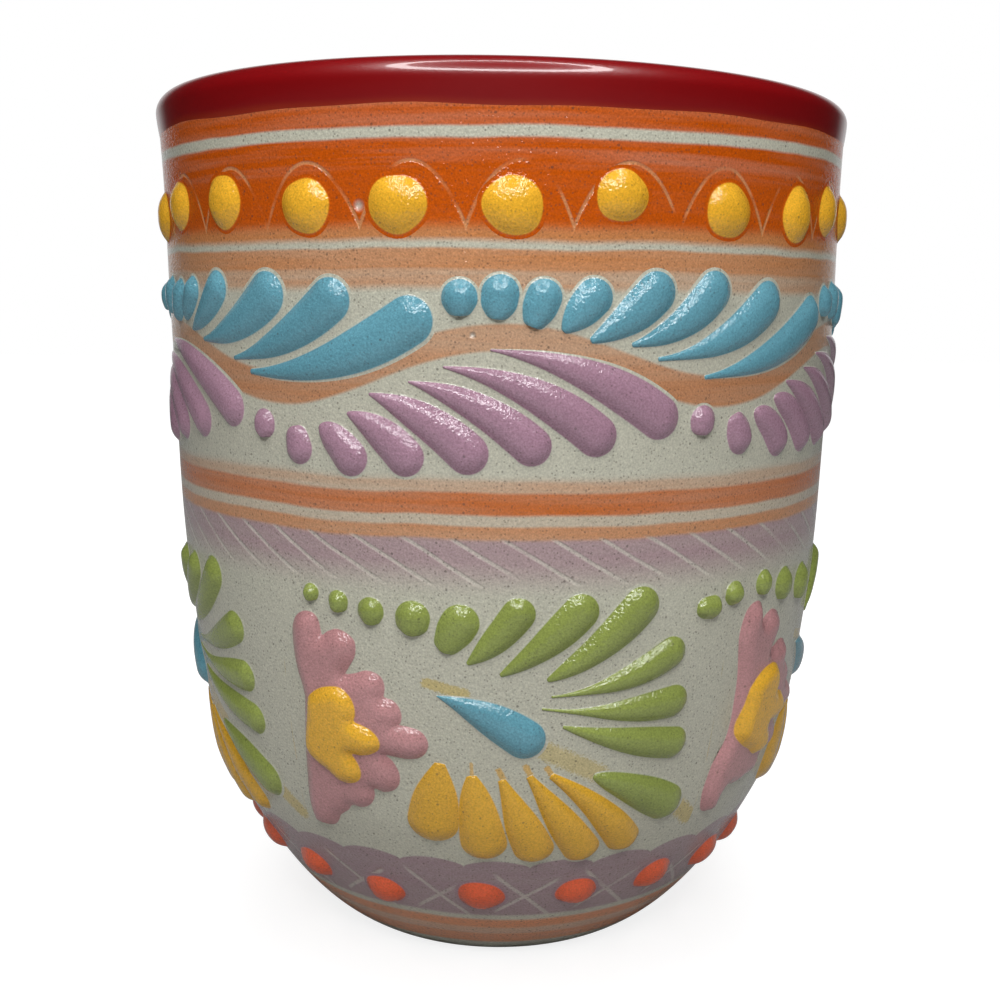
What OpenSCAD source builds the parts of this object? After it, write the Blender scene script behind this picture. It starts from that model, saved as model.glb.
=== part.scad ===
// Ceramic tumbler with a narrow foot, a rounded belly and raised slip ornament.
// Millimetres, +Z up, origin at the centre of the foot on the table, front towards -Y.

/* [Cup] */
// Height from the table to the top of the lip
cup_h = 100.8; // [80:0.1:130]
// Width across the outside of the wall just under the lip
rim_d = 83.5; // [68:0.5:104]
// Width across the knee, where the belly turns up into the wall
knee_d = 72.5; // [60:0.5:88]
// Height of the knee
knee_h = 22.5; // [18:0.5:27]
// Width of the foot
foot_d = 40.5; // [33:0.5:50]
// Slope of the belly where it leaves the foot, in degrees from level
belly_angle = 29; // [24:1:40]
// Slope of the wall at the knee, in degrees from level
knee_angle = 75.5; // [70:0.5:82]
// Slope of the wall under the lip, in degrees from level
rim_angle = 86.5; // [84:0.5:92]
// Thickness of the wall, and of the round lip
wall_t = 4; // [3:0.1:5]
// Height of the floor inside above the table
floor_t = 6; // [5:0.1:8]
// Width of the flat ring that the cup stands on
foot_ring_w = 4.5; // [3:0.1:7]
// Depth of the hollow inside the foot ring
foot_hollow = 1.2; // [0.6:0.1:2]

/* [Rim coat] */
// Thickness of the red coat over the lip
coat_t = 0.3; // [0.2:0.05:0.5]
// How far the coat runs down the outside from the lip
coat_outside = 1.8; // [1:0.1:4]
// How far the coat runs down the inside from the lip
coat_inside = 5; // [2:0.5:10]

/* [Ornament layout] */
// Length of wall, up from the foot, that the ornament is drawn for
drawn_wall = 104.8; // [90:0.1:130]
// Width under the lip that the ornament is drawn for
drawn_rim_d = 83.5; // [68:0.5:104]
// Width across the knee that the ornament is drawn for
drawn_knee_d = 72.5; // [60:0.5:88]
// Gap left under every stroke of slip, so that it clears the wall's curve
seat = 0.15; // [0.14:0.01:0.25]
// How far the strokes of the garland and the sprays stand off the wall
stroke_relief = 1; // [0.5:0.1:1.6]

/* [Beads] */
// Number of yellow beads round the collar
collar_n = 24; // [12:1:28]
// Angle of the first collar bead from the front
collar_turn = 1.5; // [-7:0.5:7]
// Height of the collar beads up the wall
collar_up = 93.4; // [92:0.1:96]
// Width of a collar bead
collar_d = 5.7; // [3:0.1:6.5]
// Number of coral beads round the foot
foot_bead_n = 20; // [10:1:24]
// Angle of the first foot bead from the front
foot_bead_turn = -3; // [-9:0.5:9]
// Height of the foot beads up the wall
foot_bead_up = 16.4; // [14:0.1:20]
// Width of a foot bead
foot_bead_d = 5; // [3:0.1:6]
// How far a bead stands off the wall
bead_relief = 1.3; // [0.6:0.1:2]

/* [Garland] */
// Number of repeats of the garland
garland_n = 5; // [3:1:5]
// Gap on either side of the front repeat, as a share of an even gap
garland_front_gap = 0.9375; // [0.92:0.005:1.05]
// How much higher the lilac strokes of the repeat after the front one lie
lilac_lift = 0.9; // [0:0.1:1.2]

/* [Flower field] */
// Number of repeats of the flower and its spray
field_n = 5; // [3:1:5]
// Gap on either side of the front repeat, as a share of an even gap
field_front_gap = 1.055; // [0.96:0.005:1.07]
// How far the flower stands off the wall
flower_relief = 1.2; // [0.6:0.1:1.8]
// How far the flower's centre stands off its petals
centre_relief = 0.8; // [0.4:0.1:1.4]
// Angle of the middle of the half-flower from the middle of its repeat
flower_angle = -30; // [-31:0.5:-29]
// Height of the middle of the half-flower up the wall
flower_up = 39; // [38:0.5:40]
// Distance from the middle of the flower to its straight back edge
flower_back = 2; // [1.5:0.1:3]
// Reach of the flower between two petals
flower_web = 8.4; // [6:0.1:9]
// Distance from the middle of the flower to the back edge of its centre
centre_back = 1.2; // [0.8:0.1:1.9]
// Lean of the back edge of the centre, in degrees
centre_lean = 12; // [0:1:20]
// Reach of the centre between two of its lobes
centre_web = 4.3; // [3:0.1:5]

/* [Hidden] */
$fn = 96;

// Colours
clay_white = [0.76, 0.76, 0.70];
rim_red = [0.42, 0.02, 0.04];
slip_yellow = [0.86, 0.64, 0.12];
slip_blue = [0.33, 0.62, 0.72];
slip_lilac = [0.60, 0.43, 0.53];
slip_green = [0.52, 0.60, 0.22];
slip_pink = [0.72, 0.42, 0.47];
slip_coral = [0.83, 0.32, 0.18];

// Wall profile: one cubic from the foot to the knee and one from the knee to the lip
belly_steps = 10;
wall_steps = 16;
lip_steps = 10;
belly_reach = 9.3;
knee_reach_down = 2.9;
knee_reach_up = 21.5;
rim_reach = 22;
lip_r = wall_t / 2;
lip_base = cup_h - seat - coat_t - lip_r * (1 + cos(rim_angle));
foot_edge = [foot_d / 2, 0];
knee = [knee_d / 2, knee_h];
rim_edge = [rim_d / 2, lip_base];

function heading(a) = [cos(a), sin(a)];

function cubic(p, q, r, s, t) =
    (1 - t)^3 * p + 3 * t * (1 - t)^2 * q + 3 * t^2 * (1 - t) * r + t^3 * s;

wall_points = concat(
    [for (i = [0:belly_steps - 1])
        cubic(foot_edge, foot_edge + belly_reach * heading(belly_angle),
            knee - knee_reach_down * heading(knee_angle), knee, i / belly_steps)],
    [for (i = [0:wall_steps])
        cubic(knee, knee + knee_reach_up * heading(knee_angle),
            rim_edge - rim_reach * heading(rim_angle), rim_edge, i / wall_steps)]
);
wall_n = len(wall_points);

// Length up the wall at each point of the profile
wall_up = [
    for (
        i = 0, up = 0;
        i < wall_n;
        up = up + (i + 1 < wall_n ? norm(wall_points[i + 1] - wall_points[i]) : 0),
        i = i + 1
    ) up
];
wall_len = wall_up[wall_n - 1];
radius_table = [for (i = [0:wall_n - 1]) [wall_up[i], wall_points[i].x]];
height_table = [for (i = [0:wall_n - 1]) [wall_up[i], wall_points[i].y]];

// Point of the profile at a length up the wall, and the direction straight out of it
slope_reach = 1;
function wall_at(up) = [lookup(up, radius_table), lookup(up, height_table)];
function wall_out(up) =
    let (along = wall_at(up + slope_reach) - wall_at(up - slope_reach))
    [along.y, -along.x] / norm(along);

// Inner face: the wall's thickness inside the outer one, with a round turn into the floor
inner_start_up = 12;
floor_turn_steps = 6;
function inner_at(up) = wall_at(up) - wall_t * wall_out(up);
turn_top = inner_at(inner_start_up);
turn_slope = inner_at(inner_start_up + slope_reach) - turn_top;
turn_corner = turn_top - turn_slope * (turn_top.y - floor_t) / turn_slope.y;
turn_end = turn_corner - [norm(turn_top - turn_corner), 0];
function floor_turn(t) =
    (1 - t)^2 * turn_top + 2 * t * (1 - t) * turn_corner + t^2 * turn_end;

// The round lip, from outside to inside
lip_out = wall_out(wall_len);
lip_centre = rim_edge - lip_r * lip_out;
lip_start_angle = atan2(lip_out.y, lip_out.x);
function lip_way(i) = heading(lip_start_angle + 180 * i / lip_steps);

// The ornament is drawn for one size of cup and grows with the wall it lies on
grow_up = wall_len / drawn_wall;
grow_round = min(rim_d / drawn_rim_d, knee_d / drawn_knee_d);
grow = min(grow_up, grow_round);

// Point off the outer wall at an angle from the front, a length up the wall and a height
function on_wall(angle, up, off) =
    let (p = wall_at(up) + off * wall_out(up))
    [p.x * sin(angle), -p.x * cos(angle), p.y];

// Millimetres along the wall for one degree of turn
function per_degree(up) = lookup(up, radius_table) * PI / 180;

// A stroke is [tail angle, tail height, head angle, head height, head width, bow].
// Its middle line bows to its left, it swells from the tail and ends in a round head.
function tail_of(st) = [st[0], st[1] * grow_up];
function head_of(st) = [st[2], st[3] * grow_up];
function width_of(st) = st[4] * grow;
function bow_of(st) = st[5] * grow;

function to_flat(p, up) = [p.x * per_degree(up), p.y];
function to_wall(p, up) = [p.x / per_degree(up), p.y];

function bend_of(st) =
    let (mid_up = (tail_of(st).y + head_of(st).y) / 2)
    let (way = to_flat(head_of(st) - tail_of(st), mid_up))
    (tail_of(st) + head_of(st)) / 2 + to_wall(2 * bow_of(st) * [-way.y, way.x] / norm(way), mid_up);

function line_of(st, t) =
    (1 - t)^2 * tail_of(st) + 2 * t * (1 - t) * bend_of(st) + t^2 * head_of(st);

function way_of(st, t) =
    let (step = 2 * (1 - t) * (bend_of(st) - tail_of(st)) + 2 * t * (head_of(st) - bend_of(st)))
    let (flat = to_flat(step, line_of(st, t).y))
    flat / norm(flat);

// Rings of a stroke: [share of the way to the head, share of the half-width past it]
stroke_rings = [[0.25, 0], [0.5, 0], [0.78, 0], [1, 0], [1, 0.72]];
// A ring: [share of the half-width to the left, share of the height], over the top and back under
ring_shape = [[1, 0], [0.6, 0.8], [0, 1], [-0.6, 0.8], [-1, 0], [0, 0]];
ring_n = len(ring_shape);
ring_count = len(stroke_rings);
stroke_point_n = ring_n * ring_count + 2;

// Share of the full width at a ring; a point below 1 makes the tail rounder
function swell(ring, point) = sin(90 * ring[0])^point * sqrt(1 - ring[1]^2);

function ring_points(st, ring, point, relief) =
    let (half = width_of(st) / 2)
    let (at = line_of(st, ring[0]))
    let (way = way_of(st, ring[0]))
    let (share = swell(ring, point))
    [for (shape = ring_shape)
        let (shift = way * ring[1] * half + [-way.y, way.x] * shape[0] * share * half)
        let (p = at + to_wall(shift, at.y))
        on_wall(p.x, p.y, seat + relief * sqrt(share) * shape[1])];

function stroke_points(st, point, relief) =
    let (tip = head_of(st) + to_wall(way_of(st, 1) * width_of(st) / 2, head_of(st).y))
    concat(
        [on_wall(tail_of(st).x, tail_of(st).y, seat)],
        [for (ring = stroke_rings) each ring_points(st, ring, point, relief)],
        [on_wall(tip.x, tip.y, seat)]
    );

// Triangles of one stroke: a fan at the tail, bands between the rings, a fan at the head
function ring_index(ring, i) = 1 + ring * ring_n + i % ring_n;
stroke_faces = concat(
    [for (i = [0:ring_n - 1]) [0, ring_index(0, i), ring_index(0, i + 1)]],
    [for (k = [0:ring_count - 2], i = [0:ring_n - 1]) each [
        [ring_index(k, i), ring_index(k + 1, i), ring_index(k + 1, i + 1)],
        [ring_index(k, i), ring_index(k + 1, i + 1), ring_index(k, i + 1)]
    ]],
    [for (i = [0:ring_n - 1])
        [stroke_point_n - 1, ring_index(ring_count - 1, i + 1), ring_index(ring_count - 1, i)]]
);

function turned(st, angle) = [st[0] + angle, st[1], st[2] + angle, st[3], st[4], st[5]];

function raised(st, lift) = [st[0], st[1] + lift, st[2], st[3] + lift, st[4], st[5]];

// The drawn strokes once for each of the angles
function laid_out(drawn, angles) = [for (angle = angles, st = drawn) turned(st, angle)];
function all_but(angles, k) = [for (i = [0:len(angles) - 1]) if (i != k) angles[i]];

// Place of the repeat after the front one
after_front = 1;

// All the strokes of one colour
module strokes(laid, point, relief) {
    polyhedron(
        [for (st = laid) each stroke_points(st, point, relief)],
        [for (k = [0:len(laid) - 1], face = stroke_faces) [for (v = face) v + k * stroke_point_n]]
    );
}

// Angles of the repeats: the two gaps beside the front one differ from the rest
function repeat_angles(n, front_gap) =
    let (front = front_gap * 360 / n)
    [for (i = [0:n - 1]) i == 0 ? 0 : front + (i - 1) * (360 - 2 * front) / (n - 2)];
garland_angles = repeat_angles(garland_n, garland_front_gap);
field_angles = repeat_angles(field_n, field_front_gap);

// Tails of leaves and petals run to a point, and those of beads are round
leaf_point = 1;
bead_point = 0.5;

// Strokes of one garland repeat
blue_bead_strokes = [
    [-5.7, 82.4, -5.7, 84.2, 3.5, 0],
    [-0.6, 82.1, -0.2, 84.6, 3.7, 0],
    [4.1, 81.4, 5.7, 84.3, 3.5, 0]
];
blue_leaf_strokes = [
    [8.4, 81, 12.7, 84.5, 3.8, 0],
    [12.2, 80.2, 21.8, 85, 4.2, -0.4],
    [18.7, 80, 31.4, 85, 4.2, -0.9],
    [22.5, 78.5, 42.3, 84.2, 4.4, -1],
    [30.1, 76.5, 55.6, 82.8, 4, -1]
];
// The repeat before the front one has fuller leaves that lie closer to the wave
full_leaf_strokes = [
    [8.5, 81.5, 11.7, 84.7, 3.3, 0],
    [11.5, 80.9, 19.4, 84.9, 4.2, -0.3],
    [15.4, 79.8, 31, 84.2, 4.8, -0.8],
    [24, 77.9, 43.1, 83.7, 4.5, -0.8],
    [27.6, 76.8, 55, 82.3, 4.7, -1.3]
];
lilac_bead_strokes = [
    [-37.2, 69.6, -37.2, 71.1, 3.1, 0],
    [-31.1, 71.2, -30.5, 68.8, 3.4, 0]
];
lilac_leaf_strokes = [
    [-26.8, 71.3, -21.6, 68.1, 3.6, 0.2],
    [-22.2, 72.8, -13.3, 68.4, 3.9, 0.6],
    [-18.8, 74.7, -4.2, 68.9, 4, 0.7],
    [-12.1, 76, 4.3, 69.8, 3.9, 0.9],
    [-8.1, 77.6, 13.5, 70.8, 4, 1.2],
    [-1.1, 79.2, 22.9, 72.4, 4.2, 1.2]
];

// Strokes of one repeat of the flower field
green_bead_strokes = [
    [-29.6, 52.4, -29.6, 53.3, 1.9, 0],
    [-24.8, 51.5, -24.8, 52.7, 2.4, 0],
    [-19.4, 50.5, -19.4, 52, 3, 0],
    [-13.1, 49.7, -12.8, 51.6, 3.7, 0],
    [-8.4, 48.2, -5.7, 51.3, 4, 0]
];
// The repeat after the front one has its beads further apart, to fill the wider gap
spaced_bead_strokes = [
    [-44.4, 51.7, -41.2, 51.6, 2.6, 0],
    [-38.6, 52.9, -36.6, 52.7, 2.7, 0],
    [-29.1, 51.8, -29.1, 53.2, 2.8, 0],
    [-22.1, 50.4, -22.1, 52.3, 3.8, 0],
    [-14, 49.4, -13.6, 51.6, 4.2, 0]
];
green_leaf_strokes = [
    [-4.7, 46.9, 2.8, 52.3, 3.5, -0.3],
    [0.2, 45.8, 12, 52.5, 3.8, -0.4],
    [7.3, 45.2, 21.3, 52.7, 4.2, -0.6],
    [8, 43.3, 27.2, 47.3, 3.8, -0.8],
    [6.6, 42, 28.4, 41.6, 3.8, -0.5],
    [10, 39.8, 29.6, 36.6, 3.7, -0.4],
    [15.6, 33.8, 30.2, 29, 4.5, 0.2]
];
blue_drop_strokes = [[-9.5, 43.3, 4.1, 38.6, 4.4, 0.4]];
yellow_petal_strokes = [
    [-9.2, 35.5, -10.9, 28.2, 5.7, 0],
    [-4.2, 34.2, -2.3, 25.5, 4.9, 0],
    [0.6, 33.8, 6.5, 24.6, 4.5, 0],
    [5, 34.2, 15.2, 24.2, 4.2, 0],
    [8.5, 34.2, 23, 25, 4, 0.6]
];

// Lobes of the half-flower and of its centre: [direction, reach, radius of the round tip]
petal_lobes = [
    [93, 12.4, 2.6], [66, 11.2, 2.3], [37, 10.2, 2.1], [15, 10.1, 1.8],
    [-3, 12.7, 1.8], [-27, 10.5, 2], [-52, 10, 2], [-93, 12.2, 2.6]
];
centre_lobes = [[50, 5.6, 2.8], [-11, 7.5, 1.6], [-54, 7.2, 1.7]];
// In the repeat after the front one the lowest petal leans out past the back edge
leaning_lobe = [-110, 12.8, 2.3];

// Reach of one lobe at an angle from the middle: a round tip on a straight ray
function lobe_reach(lobe, angle) =
    let (arm = lobe[1] - lobe[2], away = angle - lobe[0])
    let (side = arm * sin(away))
    cos(away) > 0 && abs(side) < lobe[2] ? arm * cos(away) + sqrt(lobe[2]^2 - side^2) : 0;

// The web joins the lobes, and a straight edge cuts off what lies behind it
function outline(lobes, web, back, lean, angle) =
    let (reach = max(web, max([for (lobe = lobes) lobe_reach(lobe, angle)])))
    let (behind = cos(angle + lean))
    grow * (behind < 0 ? min(reach, -back / behind) : reach);

// Directions round the flower: each petal, three steps to the next, then even steps along the back edge
gap_steps = 4;
back_steps = 14;
petal_n = len(petal_lobes);
last_petal = petal_lobes[petal_n - 1];
back_low = last_petal[1] * sin(last_petal[0]);
back_high = petal_lobes[0][1] * sin(petal_lobes[0][0]);
function back_way(t) = atan2(back_low + (back_high - back_low) * t, -flower_back);
flower_ways = concat(
    [for (k = [0:petal_n - 2], j = [0:gap_steps - 1])
        petal_lobes[k][0] + (petal_lobes[k + 1][0] - petal_lobes[k][0]) * j / gap_steps],
    [last_petal[0]],
    [for (j = [1:back_steps - 1]) back_way(j / back_steps)]
);
way_n = len(flower_ways);
upper_lobes = [for (k = [0:petal_n - 2]) petal_lobes[k]];

function petal_outline(angle) = outline(petal_lobes, flower_web, flower_back, 0, angle);
function leaning_outline(angle) = max(
    outline(upper_lobes, flower_web, flower_back, 0, angle),
    grow * lobe_reach(leaning_lobe, angle)
);
function centre_outline(angle) = outline(centre_lobes, centre_web, centre_back, centre_lean, angle);

// Reach of the petals in each direction, for one of the repeats
function petal_reaches(i) =
    [for (a = flower_ways) i == after_front ? leaning_outline(a) : petal_outline(a)];

// Height of a flat-topped dome at a share of its reach
dome_power = 4;
function dome(share) = sqrt(max(0, 1 - share^dome_power));
function petal_height(reach, edge) = flower_relief * dome(min(1, reach / edge));

// Point off the wall at a direction and reach from the middle of a flower
function by_flower(turn, angle, reach, off) =
    let (up = flower_up * grow_up)
    let (p = [flower_angle + turn, up] + to_wall(reach * heading(angle), up))
    on_wall(p.x, p.y, off);

// The underside has more rings where the wall turns more sharply behind the flower
under_turn = 5;
flower_span = grow * max([for (lobe = petal_lobes) lobe[1]]);
function wall_lean(up) = let (out = wall_out(up)) atan2(out.y, out.x);
flower_turn = wall_lean(flower_up * grow_up + flower_span) - wall_lean(flower_up * grow_up - flower_span);
under_n = max(2, ceil(flower_turn / under_turn));

// Shares of the reach at the rings of a blossom's top and of its underside
top_shares = [0.55, 0.85, 1];
under_shares = [for (i = [under_n:-1:1]) i / (under_n + 1)];
blossom_rings = len(top_shares) + len(under_shares);
blossom_point_n = way_n * blossom_rings + 2;

function petal_points(turn, reaches) = concat(
    [by_flower(turn, 0, 0, seat + flower_relief)],
    [for (share = top_shares, i = [0:way_n - 1])
        by_flower(turn, flower_ways[i], share * reaches[i], seat + flower_relief * dome(share))],
    [for (share = under_shares, i = [0:way_n - 1]) by_flower(turn, flower_ways[i], share * reaches[i], seat)],
    [by_flower(turn, 0, 0, seat)]
);

// The centre lies on the petals, so its underside follows their height
centre_seat = 3 * seat;
function centre_under(i, share, reaches) =
    centre_seat + petal_height(share * centre_outline(flower_ways[i]), reaches[i]);
function on_centre(turn, i, share, off) =
    by_flower(turn, flower_ways[i], share * centre_outline(flower_ways[i]), off);

function centre_points(turn, reaches) = concat(
    [by_flower(turn, 0, 0, centre_seat + flower_relief + centre_relief)],
    [for (share = top_shares, i = [0:way_n - 1])
        on_centre(turn, i, share, centre_under(i, share, reaches) + centre_relief * dome(share))],
    [for (share = under_shares, i = [0:way_n - 1])
        on_centre(turn, i, share, centre_under(i, share, reaches))],
    [by_flower(turn, 0, 0, centre_seat + flower_relief)]
);

function blossom_index(ring, i) = 1 + ring * way_n + i % way_n;
blossom_faces = concat(
    [for (i = [0:way_n - 1]) [0, blossom_index(0, i), blossom_index(0, i + 1)]],
    [for (k = [0:blossom_rings - 2], i = [0:way_n - 1]) each [
        [blossom_index(k, i), blossom_index(k + 1, i), blossom_index(k + 1, i + 1)],
        [blossom_index(k, i), blossom_index(k + 1, i + 1), blossom_index(k, i + 1)]
    ]],
    [for (i = [0:way_n - 1])
        [blossom_point_n - 1, blossom_index(blossom_rings - 1, i + 1), blossom_index(blossom_rings - 1, i)]]
);

module blossoms(point_lists) {
    polyhedron(
        [for (points = point_lists) each points],
        [for (k = [0:len(point_lists) - 1], face = blossom_faces) [for (v = face) v + k * blossom_point_n]]
    );
}

// A round bead with steep sides and a soft top, standing on its flat base
bead_steps = 6;
module bead(d, h) {
    rotate_extrude()
        polygon(concat(
            [[0, 0]],
            [for (i = [0:bead_steps]) let (a = 90 * i / bead_steps) [d / 2 * cos(a), h * sin(a)]]
        ));
}

// Unevenness of hand-set beads, over and over along a row: [degrees round, height, share of the width]
collar_set = [
    [-0.1, -0.5, 1.03], [-0.3, 0.6, 0.92], [1.8, -0.4, 1], [2.4, -0.3, 1.04],
    [-1, 0.5, 0.98], [-1.1, 0.4, 1.02], [0.4, -0.4, 0.99], [-0.7, -0.4, 1.03]
];
foot_bead_set = [[-0.2, 0.1, 1.04], [0.5, 0.4, 0.96], [-0.3, 0.9, 1], [0.5, 0.5, 1.02], [-1.8, -0.6, 0.98]];

// A row of beads set by hand
module bead_row(n, turn, up, d, set) {
    for (i = [0:n - 1]) {
        shift = set[i % len(set)];
        at = up * grow_up + shift[1] * grow;
        out = wall_out(at);
        foot = wall_at(at) + seat * out;
        rotate([0, 0, turn + i * 360 / n + shift[0]])
            translate([0, -foot.x, foot.y])
                rotate([90 - atan2(out.y, out.x), 0, 0])
                    bead(d * grow * shift[2], bead_relief);
    }
}

// The thrown cup: foot ring, belly, wall, round lip, inner wall and floor in one turn
module cup_body() {
    ring_inner = foot_d / 2 - foot_ring_w;
    color(clay_white)
        rotate_extrude()
            polygon(concat(
                [[0, foot_hollow], [ring_inner - foot_hollow, foot_hollow], [ring_inner, 0]],
                wall_points,
                [for (i = [1:lip_steps]) lip_centre + lip_r * lip_way(i)],
                [for (i = [wall_n - 2:-1:0]) if (wall_up[i] > inner_start_up) inner_at(wall_up[i])],
                [for (i = [0:floor_turn_steps]) floor_turn(i / floor_turn_steps)],
                [[0, floor_t]]
            ));
}

// The red coat: a skin over the lip that thins out at its two edges
module rim_coat() {
    outer_up = wall_len - coat_outside;
    inner_up = wall_len - coat_inside;
    feather = seat + coat_t / 3;
    full = seat + coat_t;
    color(rim_red)
        rotate_extrude()
            polygon(concat(
                [wall_at(outer_up) + seat * wall_out(outer_up)],
                [wall_at(outer_up) + feather * wall_out(outer_up)],
                [for (i = [0:lip_steps]) lip_centre + (lip_r + full) * lip_way(i)],
                [inner_at(inner_up) - feather * wall_out(inner_up)],
                [inner_at(inner_up) - seat * wall_out(inner_up)],
                [for (i = [lip_steps:-1:0]) lip_centre + (lip_r + seat) * lip_way(i)]
            ));
}

module collar_beads() {
    color(slip_yellow) bead_row(collar_n, collar_turn, collar_up, collar_d, collar_set);
}

module garland_blue_beads() {
    color(slip_blue) strokes(laid_out(blue_bead_strokes, garland_angles), bead_point, stroke_relief);
}

module garland_blue_leaves() {
    before_front = garland_n - 1;
    laid = concat(
        laid_out(blue_leaf_strokes, all_but(garland_angles, before_front)),
        laid_out(full_leaf_strokes, [garland_angles[before_front]])
    );
    color(slip_blue) strokes(laid, leaf_point, stroke_relief);
}

module lilac_strokes(drawn, point) {
    lifted = [for (st = drawn) raised(st, lilac_lift)];
    laid = concat(
        laid_out(drawn, all_but(garland_angles, after_front)),
        laid_out(lifted, [garland_angles[after_front]])
    );
    color(slip_lilac) strokes(laid, point, stroke_relief);
}

module garland_lilac_beads() {
    lilac_strokes(lilac_bead_strokes, bead_point);
}

module garland_lilac_leaves() {
    lilac_strokes(lilac_leaf_strokes, leaf_point);
}

module spray_green_beads() {
    laid = concat(
        laid_out(green_bead_strokes, all_but(field_angles, after_front)),
        laid_out(spaced_bead_strokes, [field_angles[after_front]])
    );
    color(slip_green) strokes(laid, bead_point, stroke_relief);
}

module spray_green_leaves() {
    color(slip_green) strokes(laid_out(green_leaf_strokes, field_angles), leaf_point, stroke_relief);
}

module spray_blue_drops() {
    color(slip_blue) strokes(laid_out(blue_drop_strokes, field_angles), leaf_point, stroke_relief);
}

module spray_yellow_petals() {
    color(slip_yellow) strokes(laid_out(yellow_petal_strokes, field_angles), leaf_point, stroke_relief);
}

module flower_petals() {
    color(slip_pink) blossoms([for (i = [0:field_n - 1]) petal_points(field_angles[i], petal_reaches(i))]);
}

module flower_centres() {
    color(slip_yellow) blossoms([for (i = [0:field_n - 1]) centre_points(field_angles[i], petal_reaches(i))]);
}

module foot_beads() {
    color(slip_coral) bead_row(foot_bead_n, foot_bead_turn, foot_bead_up, foot_bead_d, foot_bead_set);
}

cup_body();
rim_coat();
collar_beads();
garland_blue_beads();
garland_blue_leaves();
garland_lilac_beads();
garland_lilac_leaves();
spray_green_beads();
spray_green_leaves();
spray_blue_drops();
spray_yellow_petals();
flower_petals();
flower_centres();
foot_beads();
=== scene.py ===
import math
import bpy
import numpy as np
from mathutils import Matrix, Vector


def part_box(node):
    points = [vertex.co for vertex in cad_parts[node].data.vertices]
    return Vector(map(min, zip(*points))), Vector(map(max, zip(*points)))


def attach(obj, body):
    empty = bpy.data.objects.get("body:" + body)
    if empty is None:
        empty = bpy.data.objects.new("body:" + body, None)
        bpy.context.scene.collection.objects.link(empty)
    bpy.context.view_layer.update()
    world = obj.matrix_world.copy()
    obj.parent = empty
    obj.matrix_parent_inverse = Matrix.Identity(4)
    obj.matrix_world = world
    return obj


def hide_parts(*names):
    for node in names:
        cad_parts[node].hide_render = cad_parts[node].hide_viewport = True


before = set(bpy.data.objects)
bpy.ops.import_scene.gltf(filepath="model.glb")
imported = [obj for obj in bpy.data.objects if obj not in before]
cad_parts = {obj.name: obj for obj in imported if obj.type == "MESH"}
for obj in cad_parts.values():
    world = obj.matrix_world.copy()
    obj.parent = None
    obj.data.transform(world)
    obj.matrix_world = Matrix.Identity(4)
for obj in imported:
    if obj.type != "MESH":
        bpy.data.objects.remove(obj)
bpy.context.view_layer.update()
print("frame loaded,", len(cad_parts), "nodes")

mm = 0.001  # the layout is in millimetres and degrees, the meshes are in metres
bodyName = "root"

# The thrown cup, as the frame has it. Angles are slopes in degrees from level.
cup = dict(
    top=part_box("rim_coat")[1].z / mm,
    rimWidth=83.5, kneeWidth=72.5, kneeHeight=22.5, footWidth=40.5,
    wall=4, floor=6, footRing=4.5, footHollow=1.2, coat=0.22,
    bellyAngle=29, kneeAngle=75.5, rimAngle=86.5,
    bellyReach=9.3, kneeReachDown=2.9, kneeReachUp=21.5, rimReach=22,  # handles of the two cubics
    slack=0.6, slackReach=30,  # how much longer the layout is than the wall, gained over this reach
    innerStart=12.24,  # length up the wall where the inside turns into the floor
    oval=0.06, lump=0.05, ripple=0.05, ripplePitch=6, rippleFade=(8, 20),  # unevenness of the throwing
    lipDrop=0.42, dropReach=7,  # how much the lip falls from its highest side to its middle
    lipPinch=0.5, pinchFrom=72, pinchReach=28,  # how much the right side leans in at the lip
    columns=360, wallRows=150, lipRows=14, innerRows=56, floorRows=12,
)


def pairs(first, second):
    return np.stack(np.broadcast_arrays(first, second), -1)


def heading(degrees):
    return pairs(np.cos(np.radians(degrees)), np.sin(np.radians(degrees)))


# Cubic curve: four points weighted by (1-t)^3, 3t(1-t)^2, 3t^2(1-t) and t^3
def cubic(p, q, r, s, t):
    t = t[:, None]
    return (1 - t) ** 3 * p + 3 * t * (1 - t) ** 2 * q + 3 * t ** 2 * (1 - t) * r + t ** 3 * s


# Outer wall: one cubic from the foot to the knee, one from the knee to the lip
def wallProfile():
    lip = cup["wall"] / 2
    lipBase = cup["top"] - cup["coat"] - lip * (1 + math.cos(math.radians(cup["rimAngle"])))
    foot = np.array([cup["footWidth"] / 2, 0])
    knee = np.array([cup["kneeWidth"] / 2, cup["kneeHeight"]])
    rim = np.array([cup["rimWidth"] / 2, lipBase])
    kneeWay = heading(cup["kneeAngle"])
    belly = cubic(foot, foot + cup["bellyReach"] * heading(cup["bellyAngle"]),
                  knee - cup["kneeReachDown"] * kneeWay, knee, np.linspace(0, 1, 160))
    side = cubic(knee, knee + cup["kneeReachUp"] * kneeWay,
                 rim - cup["rimReach"] * heading(cup["rimAngle"]), rim, np.linspace(0, 1, 400))
    return np.concatenate([belly[:-1], side])


wallCurve = wallProfile()
wallUp = np.concatenate([[0], np.cumsum(np.hypot(*np.diff(wallCurve, axis=0).T))])
wallUp += cup["slack"] * np.clip(wallUp / cup["slackReach"], 0, 1)
wallLength = wallUp[-1]


# Radius and height of the outer wall at a length up it
def wallAt(up):
    return pairs(np.interp(up, wallUp, wallCurve[:, 0]), np.interp(up, wallUp, wallCurve[:, 1]))


# Direction straight out of the wall: the slope over a millimetre each way, turned a quarter
def wallOut(up):
    along = wallAt(up + 1) - wallAt(up - 1)
    along /= np.linalg.norm(along, axis=-1, keepdims=True)
    return pairs(along[..., 1], -along[..., 0])


# Inner wall at the same length: the wall's thickness straight in
def innerAt(up):
    return wallAt(up) - cup["wall"] * wallOut(up)


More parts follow.
